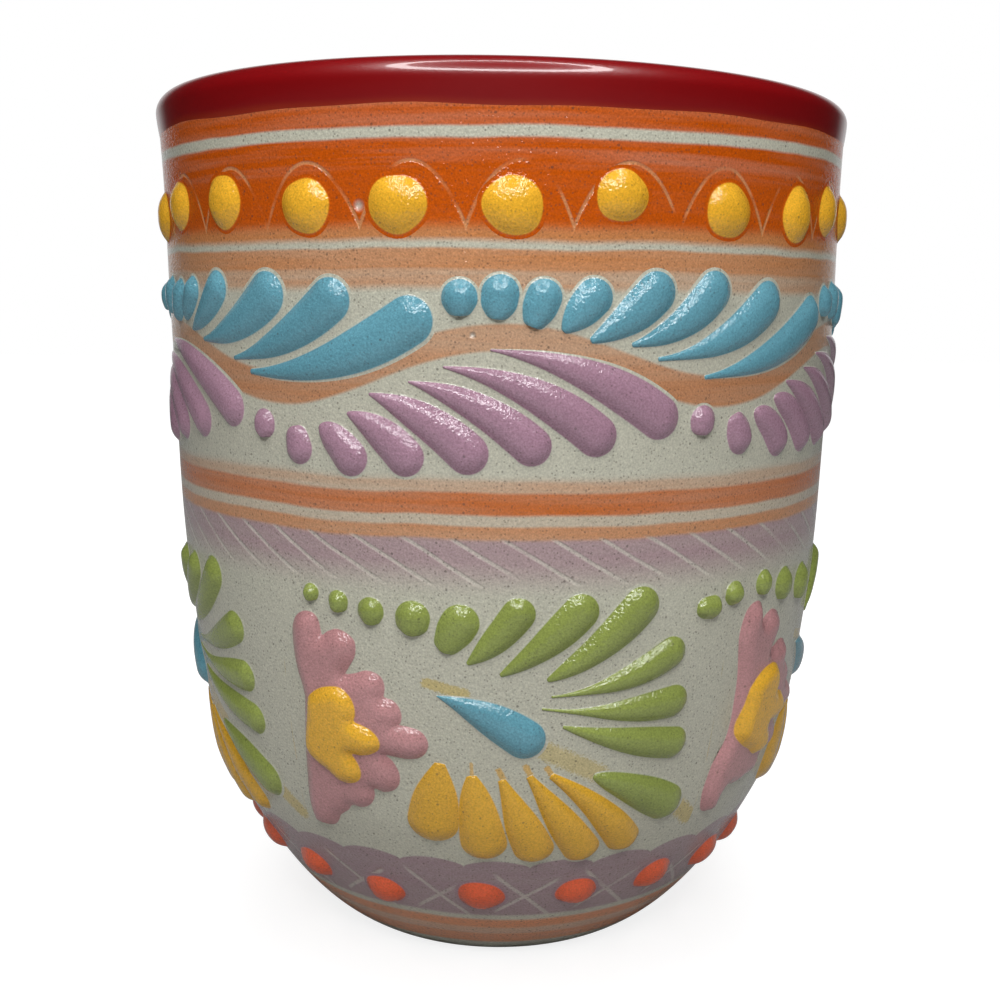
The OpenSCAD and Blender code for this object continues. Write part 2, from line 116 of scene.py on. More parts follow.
# Round lip: half a circle from the outer wall over to the inner one, at angles from the outer one
lipHalf = cup["wall"] / 2
lipCentre = wallCurve[-1] - lipHalf * wallOut(wallLength)
lipStart = np.degrees(np.arctan2(*wallOut(wallLength)[::-1]))


# Unevenness of the thrown wall: a slight oval and slow lumps, none at the foot and the lip
def throwing(angle, up):
    turn = np.radians(angle)
    fade = np.clip((up - 4) / 16, 0, 1) * np.clip((wallLength - up) / 8, 0, 1)
    lumps = np.sin(5 * turn + up / 9) * np.sin(up / 7 + 1) + 0.6 * np.sin(9 * turn - up / 5)
    return fade * (cup["oval"] * np.sin(2 * turn + 0.7) + cup["lump"] * lumps)


# Lip that isn't level: it falls by a sine from its high left side to its low right side
def lipFall(angle, height):
    near = np.clip((height - cup["top"]) / cup["dropReach"] + 1, 0, 1)
    return -cup["lipDrop"] * (1 + np.sin(np.radians(angle))) * near ** 1.5


# Point in metres at an angle from the front, a radius and a height; the right side leans in by a square
def roundAxis(angle, radius, height):
    turn = np.radians(angle)
    level = height + lipFall(angle, height)
    lean = (np.clip(np.sin(turn), 0, 1) * np.clip((height - cup["pinchFrom"]) / cup["pinchReach"], 0, 1)) ** 2
    wide = radius - cup["lipPinch"] * lean
    parts = np.broadcast_arrays(wide * np.sin(turn), -wide * np.cos(turn), level)
    return np.stack(parts, -1) * mm


# Point off the outer wall at an angle from the front, a length up the wall and a distance out
def onWall(angle, up, off):
    spot = wallAt(up) + (off + throwing(angle, up))[..., None] * wallOut(up)
    return roundAxis(angle, spot[..., 0], spot[..., 1])


# Millimetres along the wall for one degree of turn
def perDegree(up):
    return wallAt(up)[..., 0] * math.pi / 180


# Mesh from points, quads and triangles, with a map and marks on the points; faces turn outwards
def addMesh(name, points, quads, fans, quadMap, fanMap, marks):
    corners = points[np.concatenate([quads[:, [0, 1, 2]], quads[:, [0, 2, 3]], fans])]
    if np.sum(corners[:, 0] * np.cross(corners[:, 1], corners[:, 2])) < 0:
        quads, fans = quads[:, ::-1], fans[:, ::-1]
        quadMap, fanMap = quadMap[:, ::-1], fanMap[:, ::-1]
    mesh = bpy.data.meshes.new(name)
    mesh.from_pydata(points.tolist(), [], quads.tolist() + fans.tolist())
    mesh.shade_smooth()
    flat = np.concatenate([quadMap.reshape(-1), fanMap.reshape(-1)])
    mesh.uv_layers.new(name="OFBake").uv.foreach_set("vector", flat.astype(np.float32))
    for mark, values in marks.items():
        layer = mesh.attributes.new(mark, "FLOAT", "POINT")
        layer.data.foreach_set("value", values.reshape(-1).astype(np.float32))
    piece = bpy.data.objects.new(name, mesh)
    bpy.context.scene.collection.objects.link(piece)
    return piece


# Map of quads, from the place of each one's first corner and their size
def quadTiles(u, v, wide, high):
    return np.stack([pairs(u + i * wide, v + j * high) for i, j in ((0, 0), (1, 0), (1, 1), (0, 1))], -2)


# Closed tubes, each a first pole, rings of points and a last pole, with a tile of the map each
def addTubes(name, first, rings, last, marks):
    count, ringCount, sides = rings.shape[:3]
    points = np.concatenate([first[:, None], rings.reshape(count, -1, 3), last[:, None]], 1).reshape(-1, 3)
    flatMarks = {mark: np.concatenate([a[:, None], b.reshape(count, -1), c[:, None]], 1)
                 for mark, (a, b, c) in marks.items()}
    here = np.arange(sides)
    there = (here + 1) % sides
    ring = 1 + np.arange(ringCount)[:, None] * sides
    quads = np.stack([ring[:-1] + here, ring[:-1] + there, ring[1:] + there, ring[1:] + here], -1)
    firstFan = np.stack([0 * here, ring[0] + there, ring[0] + here], -1)
    lastFan = np.stack([0 * here + ringCount * sides + 1, ring[-1] + here, ring[-1] + there], -1)
    fans = np.concatenate([firstFan, lastFan])
    # map: across one tile round the ring, up the tile along the tube
    u, wide, high = here / sides, 1 / sides, 1 / (ringCount + 1)
    quadMap = quadTiles(u, np.arange(1, ringCount)[:, None] * high, wide, high)
    fanMap = np.concatenate([
        np.stack([pairs(u + wide / 2, 0), pairs(u + wide, high), pairs(u, high)], 1),
        np.stack([pairs(u + wide / 2, 1), pairs(u, 1 - high), pairs(u + wide, 1 - high)], 1)])
    step = np.arange(count)[:, None, None] * (ringCount * sides + 2)
    tiles = math.ceil(math.sqrt(count))
    corner = pairs(np.arange(count) % tiles, np.arange(count) // tiles)[:, None, None, :]
    margin = 0.02 if count > 1 else 0
    allQuads = (quads.reshape(1, -1, 4) + step).reshape(-1, 4)
    allFans = (fans[None] + step).reshape(-1, 3)
    allQuadMap = ((margin + (1 - 2 * margin) * quadMap.reshape(1, -1, 4, 2)) + corner) / tiles
    allFanMap = ((margin + (1 - 2 * margin) * fanMap[None]) + corner) / tiles
    return addMesh(name, points, allQuads, allFans,
                   allQuadMap.reshape(-1, 4, 2), allFanMap.reshape(-1, 3, 2), flatMarks)


def settle(piece, node, material):
    piece.data.materials.append(material)
    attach(piece, bodyName)
    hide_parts(node)
    print("piece", piece.name, len(piece.data.polygons), "faces")


# Linear colour of an sRGB one
def paint(red, green, blue):
    srgb = np.array([red, green, blue]) / 255
    linear = np.where(srgb <= 0.04045, srgb / 12.92, ((srgb + 0.055) / 1.055) ** 2.4)
    return (*linear.tolist(), 1)


paints = dict(
    ground=paint(199, 198, 181), clay=paint(205, 194, 174), speck=paint(74, 66, 58),
    scratch=paint(214, 209, 196), archLine=paint(218, 172, 124),
    orange=paint(200, 87, 13), belt=paint(200, 101, 24), peach=paint(203, 134, 82), tan=paint(193, 121, 68),
    rust=paint(222, 143, 94), lilacWash=paint(173, 144, 150), lilacBand=paint(160, 132, 140),
    ochre=paint(203, 181, 106), red=paint(138, 4, 10), yellow=paint(237, 176, 45),
    petalYellow=paint(222, 170, 52), centre=paint(231, 176, 53), blue=paint(100, 158, 175),
    lilac=paint(168, 131, 149), green=paint(144, 157, 80), pink=paint(191, 140, 141),
    coral=paint(224, 92, 50),
)


# A value in a shader that formulas can use: each step of a formula adds a Math node
class Wire:
    def __init__(self, socket):
        self.socket, self.tree = socket, socket.id_data

    def __add__(self, other):
        return calc("ADD", self, other)

    def __sub__(self, other):
        return calc("SUBTRACT", self, other)

    def __rsub__(self, other):
        return calc("SUBTRACT", other, self)

    def __mul__(self, other):
        return calc("MULTIPLY", self, other)

    def __truediv__(self, other):
        return calc("DIVIDE", self, other)

    def __pow__(self, power):
        return calc("POWER", self, power)

    def __abs__(self):
        return calc("ABSOLUTE", self)


def plug(socket, value):
    if isinstance(value, Wire):
        socket.id_data.links.new(value.socket, socket)
    else:
        socket.default_value = value


def addNode(tree, kind, inputs=None, **settings):
    node = tree.nodes.new("ShaderNode" + kind)
    for name, value in settings.items():
        setattr(node, name, value)
    for name, value in (inputs or {}).items():
        plug(node.inputs[name], value)
    return node


# One output of a new node
def source(tree, kind, output, inputs=None, **settings):
    return Wire(addNode(tree, kind, inputs, **settings).outputs[output])


# The tree that the wired inputs lie in
def treeOf(inputs):
    return next(value.tree for value in inputs.values() if isinstance(value, Wire))


# One output of a new node that follows on from its wired inputs
def follow(kind, output, inputs, **settings):
    return source(treeOf(inputs), kind, output, inputs, **settings)


def calc(operation, *values):
    return follow("Math", 0, dict(enumerate(values)), operation=operation)


def clamped(value):
    return calc("MINIMUM", calc("MAXIMUM", value, 0), 1)


def mixColour(amount, first, second, blend="MIX"):
    return follow("Mix", 2, {0: amount, 6: first, 7: second}, data_type="RGBA", blend_type=blend)


# Smooth step from 0 at low to 1 at high
def ease(value, low, high):
    return follow("MapRange", "Result", {"Value": value, "From Min": low, "From Max": high},
                  interpolation_type="SMOOTHSTEP")


def stretched(vector, scale):
    return follow("VectorMath", "Vector", {0: vector, 1: scale}, operation="MULTIPLY")


def noise(vector, scale, detail):
    return follow("TexNoise", "Fac", {"Vector": vector, "Scale": scale, "Detail": detail})


def mark(tree, name):
    return source(tree, "Attribute", "Fac", attribute_name=name)


def greyOf(level):
    return (level,) * 3 + (1,)


# New shader group: its tree, its inputs as wires and the sockets of its outputs
def newGroup(name, inputs, outputs):
    tree = bpy.data.node_groups.new(name, "ShaderNodeTree")
    for label, kind in inputs.items():
        tree.interface.new_socket(label, in_out="INPUT", socket_type="NodeSocket" + kind)
    for label in outputs:
        tree.interface.new_socket(label, in_out="OUTPUT", socket_type="NodeSocketFloat")
    sockets = tree.nodes.new("NodeGroupInput").outputs
    given = {label: Wire(sockets[label]) for label in inputs}
    return tree, given, tree.nodes.new("NodeGroupOutput").inputs


def useGroup(name, inputs):
    node = addNode(treeOf(inputs), "Group", inputs, node_tree=groups[name])
    return {socket.name: Wire(socket) for socket in node.outputs}


# Iron specks: a dot at the middle of some cells of a scattered pattern
def speckGroup():
    tree, given, out = newGroup("ironSpecks", dict(Place="Vector", Cells="Float", Dot="Float", Share="Float"),
                                ["Mask"])
    cells = addNode(tree, "TexVoronoi", {"Vector": given["Place"], "Scale": given["Cells"]}).outputs
    dot = 1 - ease(Wire(cells["Distance"]), given["Dot"] * 0.5, given["Dot"])
    red = follow("SeparateColor", "Red", {"Color": Wire(cells["Color"])})
    plug(out["Mask"], dot * calc("LESS_THAN", red, given["Share"]))
    return tree


# Noise scales of the glaze's skin, the height of its peel in metres and how deep the grain's colour is
glazeSkin = dict(finePeel=(3200, 8e-5), broadPeel=(800, 4e-5), cloudScale=90, grainScale=5000, grainDepth=0.8)


# Skin of the glaze: fine orange peel for the bump, slow clouds and a grain for the colour
def skinGroup():
    tree, given, out = newGroup("glazeSkin", dict(Place="Vector"), ["Peel", "Cloud", "Grain"])
    fine, broad = (noise(given["Place"], scale, 1) * height
                   for scale, height in (glazeSkin["finePeel"], glazeSkin["broadPeel"]))
    plug(out["Peel"], fine + broad)
    plug(out["Cloud"], noise(given["Place"], glazeSkin["cloudScale"], 3))
    plug(out["Grain"], noise(given["Place"], glazeSkin["grainScale"], 2))
    return tree


# Turn of a place round the axis, in degrees from the front
def turnGroup():
    tree, given, out = newGroup("turnRoundCup", dict(Place="Vector"), ["Angle"])
    xyz = addNode(tree, "SeparateXYZ", {"Vector": given["Place"]}).outputs
    turn = calc("ARCTAN2", Wire(xyz["X"]), Wire(xyz["Y"]) * -1)
    plug(out["Angle"], calc("DEGREES", turn))
    return tree


# A band's edges up the wall, how soft they are, its cover and how much dry streaks thin it
bandValues = ["Low", "High", "Low Soft", "High Soft", "Cover", "Thin"]


# A brushed band between two lengths up the wall, thinned where the brush ran dry
def bandGroup():
    names = ["Up", "Streak"] + bandValues
    tree, given, out = newGroup("brushedBand", dict.fromkeys(names, "Float"), ["Mask"])
    low, high, lowSoft, highSoft, cover, thin = (given[name] for name in bandValues)
    pastLow = ease(given["Up"], low - lowSoft, low + lowSoft)
    pastHigh = ease(given["Up"], high - highSoft, high + highSoft)
    dry = cover - thin * given["Streak"]
    plug(out["Mask"], pastLow * (1 - pastHigh) * clamped(dry))
    return tree


# Hair line where a distance in millimetres is near nothing
def lineGroup():
    tree, given, out = newGroup("scratchedLine", dict(Distance="Float", Width="Float"), ["Mask"])
    plug(out["Mask"], 1 - ease(abs(given["Distance"]), given["Width"] * 0.25, given["Width"]))
    return tree


# Millimetres along the wall for a degree of turn, near each row of marks; across the lines for hatching
degreeAt = dict(collar=0.72, field=0.645, crossings=0.6, hatching=0.36)


# A brush mark's ends and half its width
dashValues = ["Start Angle", "Start Up", "End Angle", "End Up", "Half"]


# A flat brush mark: full inside a capsule from start to end, with a ragged edge
def dashGroup():
    names = ["Field", "Up", "Rough"] + dashValues
    tree, given, out = newGroup("brushDash", dict.fromkeys(names, "Float"), ["Mask"])
    startAngle, startUp, endAngle, endUp, half = (given[name] for name in dashValues)
    x, y = (given["Field"] - startAngle) * degreeAt["field"], given["Up"] - startUp
    wayX, wayY = (endAngle - startAngle) * degreeAt["field"], endUp - startUp
    along = clamped((x * wayX + y * wayY) / (wayX * wayX + wayY * wayY))
    offX, offY = x - along * wayX, y - along * wayY
    share = calc("SQRT", offX * offX + offY * offY) / half + given["Rough"]
    plug(out["Mask"], 1 - ease(share, 0.7, 1.25))
    return tree


groups = dict(specks=speckGroup(), skin=skinGroup(), turn=turnGroup(), band=bandGroup(), line=lineGroup(),
              dash=dashGroup())
print("shader groups made")

# Clear glaze over everything, and the crimson glaze of the lip
glaze = dict(roughness=0.085, ior=1.55, coat=0.0, coatRoughness=0.05, coatIor=1.5, clouding=0.06, bump=1.0)
redGlaze = dict(glaze, roughness=0.3, coat=0.7, coatRoughness=0.04, bump=0.12,
                edgeOrange=0.25, thin=(0.01, 0.12), shade=0.7, shading=0.5)

# How slip lies on the wall: the skirt where glaze rounds its foot, how deep its base is let in, the
# thicknesses between which its colour fades out, and how its colour and specks vary
slip = dict(skirt=1.16, fillet=0.15, sink=0.012, base=0.25, dome=2.5, blossomDome=2.2, thin=(0.03, 0.11),
            dark=(0.86, 0), light=(1.18, 0.01), speckShare=0.22, speckShow=0.45)


def newMaterial(name, finish):
    material = bpy.data.materials.new(name)
    material.use_nodes = True
    tree = material.node_tree
    shader = tree.nodes["Principled BSDF"].inputs
    shader["IOR"].default_value = finish["ior"]
    shader["Coat Weight"].default_value = finish["coat"]
    shader["Coat Roughness"].default_value = finish["coatRoughness"]
    shader["Coat IOR"].default_value = finish["coatIor"]
    place = source(tree, "TexCoord", "Object")
    return material, shader, place, useGroup("skin", {"Place": place})


# Gloss that varies with the clouds of the glaze
def cloudedRoughness(skin, finish):
    return skin["Cloud"] * finish["clouding"] + (finish["roughness"] - finish["clouding"] / 2)


def dress(shader, finish, colour, roughness, height):
    plug(shader["Base Color"], colour)
    plug(shader["Roughness"], roughness)
    plug(shader["Normal"], follow("Bump", "Normal", {
        "Strength": finish["bump"], "Distance": 1.0, "Height": height}))


# Fine and coarse iron specks: cells to a metre, dot in its cell, part of the share of cells, strength
ironSpecks = [(2600, 0.34, 1, 0.75), (1100, 0.2, 0.5, 1)]


def specks(place, share):
    sizes = []
    for cells, dot, part, strength in ironSpecks:
        found = useGroup("specks", {"Place": place, "Cells": cells, "Dot": dot, "Share": share * part})
        sizes.append(found["Mask"] * strength)
    return calc("MAXIMUM", *sizes)


# Colour with the grain of the glaze multiplied in
def grained(colour, skin):
    depth = glazeSkin["grainDepth"]
    level = skin["Grain"] * depth + (1 - depth / 2)
    grain = follow("CombineColor", "Color", {"Red": level, "Green": level, "Blue": level})
    return mixColour(1, colour, grain, "MULTIPLY")


# Bands from the foot up: paint, then the values of bandValues
bands = [
    ("rust", 4.3, 11, 0.5, 0.5, 0.75, 0.4), ("rust", 4.4, 7.3, 0.4, 0.4, 1.15, 0.5),
    ("rust", 9.1, 11.1, 0.4, 0.4, 1.15, 0.5), ("peach", 60, 66.4, 0.5, 0.6, 0.3, 0.2),
    ("peach", 60.1, 61.6, 0.35, 0.2, 1, 0.4), ("belt", 62.7, 65, 0.2, 0.25, 1.07, 0.55),
    ("peach", 65, 66.2, 0.4, 0.3, 0.6, 0.6), ("peach", 84.9, 86.8, 0.5, 0.4, 0.9, 0.7),
    ("peach", 86.7, 88.8, 0.3, 0.2, 1.1, 0.5), ("peach", 89.6, 92.4, 0.45, 0.4, 1.2, 0.4),
    ("orange", 91, 99.25, 0.9, 0.2, 1.25, 0.6), ("orange", 91.5, 96.2, 0.9, 0.3, 1.2, 0.5),
    ("orange", 100.35, 103.5, 0.2, 0.2, 1.15, 0.45),
]

# Scratched lines and washes on the wall, in millimetres and degrees; the groove's depth is in metres
marksOnWall = dict(
    archCentre=2.5, archPitch=15, archFoot=91, archRise=6.1, archPower=2.1, archWidth=0.26,
    archFrom=(90.2, 90.8), hatchPitch=360 / 49, hatchShift=1.9, hatchSlant=2.4, hatchWidth=0.3,
    hatchFrom=(55.2, 55.8), hatchTo=(60, 60.6),
    crossCentre=6, crossPitch=18, crossUp=16.2, crossSlopes=(0.8, -1.1), crossWidth=0.42, crossTo=(3.2, 4.2),
    scallopPitch=360 / 29, scallopLow=21.6, scallopRise=1.2, scallopPower=0.6, scallopEdge=0.15,
    lilacFrom=(11.8, 12.6), washFade=(53.8, 58.4), washTop=(60, 60.5),
    # the pits are burst bubbles: a small dent, and a pale spot on it that is a painted glint
    waveHalf=1.2, waveEdge=0.4, groove=6e-5, pitsAndGlints=[(-19.7, 92.9, 0.75), (-3.9, 80.6, 0.4)],
)

# How the paint was worked: stretch of its streaks and sway, how far they shift its edges, how the scratches
# wander and wear, and how strongly clouds, scratches, the painted glints at the pits and specks show
brushwork = dict(
    streakStretch=(40, 40, 900), swayStretch=(70, 70, 40), edgeSway=0.9, edgeStreak=0.3, dashRough=1.2,
    wander=3, archWear=(0.3, 0.55), archWearScale=250, lineWear=(0.3, 0.5),
    clouds=0.12, arches=0.5, lines=0.6, pitsAndGlints=0.8, specks=0.55, speckShare=0.48, bareRoughness=0.55,
)

# Painted wave between the two rows of the garland
wavePath = dict(crest=80.4, trough=74.9, crestHalf=1.3, troughHalf=1.55)

# Flat brush marks beside the strokes of a spray: the values of dashValues, then cover
dashStrokes = dict(
    ochre=[[-10.9, 44.9, -5.2, 43.9, 0.6, 0.75], [6.5, 37.8, 16.5, 34.4, 1.1, 0.6],
           [33, 28.6, 37.3, 26.2, 1.1, 0.75]],
    petalYellow=[[-4.2, 35.9, -4.1, 34.6, 0.2, 0.6], [0.2, 35.2, 1.4, 33.6, 0.34, 0.7],
                 [4.5, 35.6, 6, 33.8, 0.34, 0.7], [7.9, 35.4, 10, 33.4, 0.32, 0.7]],
)


# A value that repeats round the wall, from minus half a pitch to half a pitch
def repeated(value, pitch):
    return calc("WRAP", value, pitch / 2, -pitch / 2)


# Distance to the pointed arches over the collar beads: a power curve from cusp to crown, over its own slope
def archDistance(angle, up):
    m = marksOnWall
    half = m["archPitch"] / 2
    away = abs(repeated(angle - m["archCentre"], m["archPitch"])) / half
    crown = m["archFoot"] + m["archRise"] - away ** m["archPower"] * m["archRise"]
    steep = m["archRise"] * m["archPower"] / (half * degreeAt["collar"])
    slope = away ** (m["archPower"] - 1) * steep
    return (up - crown) / calc("SQRT", slope * slope + 1)


# Distance to slanting lines that repeat round the wall
def hatchDistance(angle, up):
    m = marksOnWall
    return repeated(up * m["hatchSlant"] + angle + m["hatchShift"], m["hatchPitch"]) * degreeAt["hatching"]


def hairLine(distance, width):
    return useGroup("line", {"Distance": distance, "Width": width})["Mask"]


# The two arms of each crossing between the foot beads: straight lines, cut off at their reach
def crossings(angle, up):
    m = marksOnWall
    along = repeated(angle - m["crossCentre"], m["crossPitch"]) * degreeAt["crossings"]
    arms = [hairLine((up - m["crossUp"] - along * slope) / math.hypot(1, slope), m["crossWidth"])
            for slope in m["crossSlopes"]]
    return calc("MAXIMUM", *arms) * (1 - ease(abs(along), *m["crossTo"]))


# Masks of the arches and of the other scratched lines, each kept to its own stretch of the wall
def scratches(angle, up):
    m = marksOnWall
    arches = hairLine(archDistance(angle, up), m["archWidth"]) * ease(up, *m["archFrom"])
    inHatch = ease(up, *m["hatchFrom"]) * (1 - ease(up, *m["hatchTo"]))
    hatch = hairLine(hatchDistance(angle, up), m["hatchWidth"]) * inHatch
    return arches, calc("MAXIMUM", hatch, crossings(angle, up) * 0.85)


# Small burst bubbles in the glaze, each a dent in the bump with a pale painted glint on it: spots that fall
# off over their size
def pitsAndGlints(angle, up):
    spots = []
    for pitAngle, pitUp, size in marksOnWall["pitsAndGlints"]:
        x, y = (angle - pitAngle) * degreeAt["collar"], up - pitUp
        spots.append(1 - ease(calc("SQRT", x * x + y * y), 0, size))
    return calc("MAXIMUM", *spots)


# Wash of lilac under the belt, fading down, and the scalloped band round the belly
def lilacWashes(colour, angle, ragged, streak):
    m = marksOnWall
    wash = ease(ragged, *m["washFade"]) * (1 - ease(ragged, *m["washTop"])) * (1 - streak * 0.3)
    colour = mixColour(wash, colour, paints["lilacWash"])
    lobes = abs(calc("COSINE", angle * (math.pi / m["scallopPitch"])))
    above = ragged - (lobes ** m["scallopPower"] * m["scallopRise"] + m["scallopLow"])
    belt = ease(ragged, *m["lilacFrom"]) * (1 - ease(above, -m["scallopEdge"], m["scallopEdge"]))
    return mixColour(belt * (1 - streak * 0.25), colour, paints["lilacBand"])


# Painted wave of the garland, fuller and browner in its troughs
def waveStripe(colour, up, wave, sway, streak):
    half, edge = marksOnWall["waveHalf"], marksOnWall["waveEdge"]
    low = 1 - ease(up, wavePath["trough"], wavePath["crest"])
    stripe = 1 - ease(abs(wave) - sway * 0.5, half - edge, half)
    stripe = stripe * (1.05 - streak * 0.5) * (low * 0.18 + 0.82)
    return mixColour(stripe, colour, mixColour(low, paints["peach"], paints["tan"]))


# Painted glaze of the cup: bands, wave, dashes, scratches, specks and painted glints at the pits over a pale
# ground
def cupMaterial():
    b = brushwork
    material, shader, place, skin = newMaterial("paintedGlaze", glaze)
    up, wave, field = (mark(place.tree, name) for name in ("up", "wave", "field"))
    angle = useGroup("turn", {"Place": place})["Angle"]
    streak = noise(stretched(place, b["streakStretch"]), 1, 4)
    sway = noise(stretched(place, b["swayStretch"]), 1, 2)
    ragged = up + sway * b["edgeSway"] + streak * b["edgeStreak"] - (b["edgeSway"] + b["edgeStreak"]) / 2
    colour = mixColour(skin["Cloud"] * b["clouds"], paints["ground"], paints["clay"])
    for bandPaint, *values in bands:
        band = useGroup("band", {"Up": ragged, "Streak": streak, **dict(zip(bandValues, values))})
        colour = mixColour(band["Mask"], colour, paints[bandPaint])
    colour = lilacWashes(colour, angle, ragged, streak)
    colour = waveStripe(colour, up, wave, sway, streak)
    dashEdge = skin["Grain"] * b["dashRough"] - b["dashRough"] / 2
    for dashPaint, strokes in dashStrokes.items():
        for *values, cover in strokes:
            ends = dict(zip(dashValues, values))
            dash = useGroup("dash", {"Field": field, "Up": up, "Rough": dashEdge, **ends})
            colour = mixColour(dash["Mask"] * cover, colour, paints[dashPaint])
    arches, lines = scratches(angle + (sway * b["wander"] - b["wander"] / 2), up)
    arches = arches * ease(noise(place, b["archWearScale"], 1), *b["archWear"])
    lines = lines * ease(skin["Cloud"], *b["lineWear"])
    pitAndGlint = pitsAndGlints(angle, up)
    # the pale spots at the pits are painted glints; their dent comes from the bump further down
    for cover, over in ((arches * b["arches"], "archLine"), (lines * b["lines"], "scratch"),
                        (pitAndGlint * b["pitsAndGlints"], "scratch"),
                        (specks(place, b["speckShare"]) * b["specks"], "speck")):
        colour = mixColour(cover, colour, paints[over])
    # bare clay on the ring that the cup stands on
    bare = (1 - ease(up, -0.5, -0.1)) * ease(up, -cup["footRing"] - 0.3, -cup["footRing"] + 0.1)
    colour = mixColour(bare, grained(colour, skin), paints["clay"])
    carved = calc("MAXIMUM", calc("MAXIMUM", arches, lines), pitAndGlint * 4)
    dress(shader, glaze, colour, bare * b["bareRoughness"] + cloudedRoughness(skin, glaze),
          skin["Peel"] - carved * marksOnWall["groove"])
    return material


def tinted(colour, factor, lift=0):
    return tuple(min(1, c * factor + lift) for c in colour[:3]) + (1,)


# Coloured slip under clear glaze: thin slip lets the ground through, specks and grain as on the wall
def slipMaterial(name, colour, below):
    material, shader, place, skin = newMaterial(name, glaze)
    cover = ease(mark(place.tree, "thick"), *slip["thin"])
    body = mixColour(skin["Cloud"], tinted(colour, *slip["dark"]), tinted(colour, *slip["light"]))
    shade = mixColour(cover, paints[below], body)
    shade = mixColour(specks(place, slip["speckShare"]) * slip["speckShow"], shade, paints["speck"])
    dress(shader, glaze, grained(shade, skin), cloudedRoughness(skin, glaze), skin["Peel"])
    return material


# Thick crimson glaze on the lip, partly orange where it thins out at its edge
def rimMaterial():
    material, shader, place, skin = newMaterial("crimsonGlaze", redGlaze)
    part = redGlaze["edgeOrange"]
    edge = tuple((1 - part) * red + part * orange for red, orange in zip(paints["red"], paints["orange"]))
    colour = mixColour(ease(mark(place.tree, "thick"), *redGlaze["thin"]), edge, paints["red"])
    colour = mixColour(skin["Cloud"] * redGlaze["shading"], colour, tinted(paints["red"], redGlaze["shade"]))
    dress(shader, redGlaze, colour, cloudedRoughness(skin, redGlaze), skin["Peel"])
    return material


# What shows round the edge of each slip, where it runs thin
grounds = dict(yellow="orange", petalYellow="ground", centre="pink", blue="ground", lilac="ground",
               green="ground", pink="ground", coral="lilacBand")
slipMaterials = {name: slipMaterial(name + "Slip", paints[name], below)
                 for name, below in grounds.items()}
print("materials made")


# Angles of the repeats round the cup: the two gaps beside the front one differ from the rest
def repeatAngles(count, frontGap):
    front = frontGap * 360 / count
    rest = front + np.arange(count - 1) * (360 - 2 * front) / (count - 2)
    return np.concatenate([[0], rest])


garlandAngles = repeatAngles(5, 0.9375)
fieldAngles = repeatAngles(5, 1.055)


# Height of the wave's middle line and its half-width: a cosine from each repeat to the next
def waveAt(angle):
    ends = np.concatenate([garlandAngles, [360]])
    turn = angle % 360
    gap = np.clip(np.searchsorted(ends, turn, side="right") - 1, 0, len(garlandAngles) - 1)
    phase = (turn - ends[gap]) / (ends[gap + 1] - ends[gap])
    lift = (1 + np.cos(2 * np.pi * phase)) / 2
    middle = wavePath["trough"] + (wavePath["crest"] - wavePath["trough"]) * lift
    half = wavePath["troughHalf"] + (wavePath["crestHalf"] - wavePath["troughHalf"]) * lift
    return middle, half


# Angle from the middle of the nearest repeat of the flower field
def fieldAngle(angle):
    local = (angle[..., None] - fieldAngles + 145) % 360 - 145
    nearest = np.abs(local - 1).argmin(-1)
    return np.take_along_axis(local, nearest[..., None], -1)[..., 0]


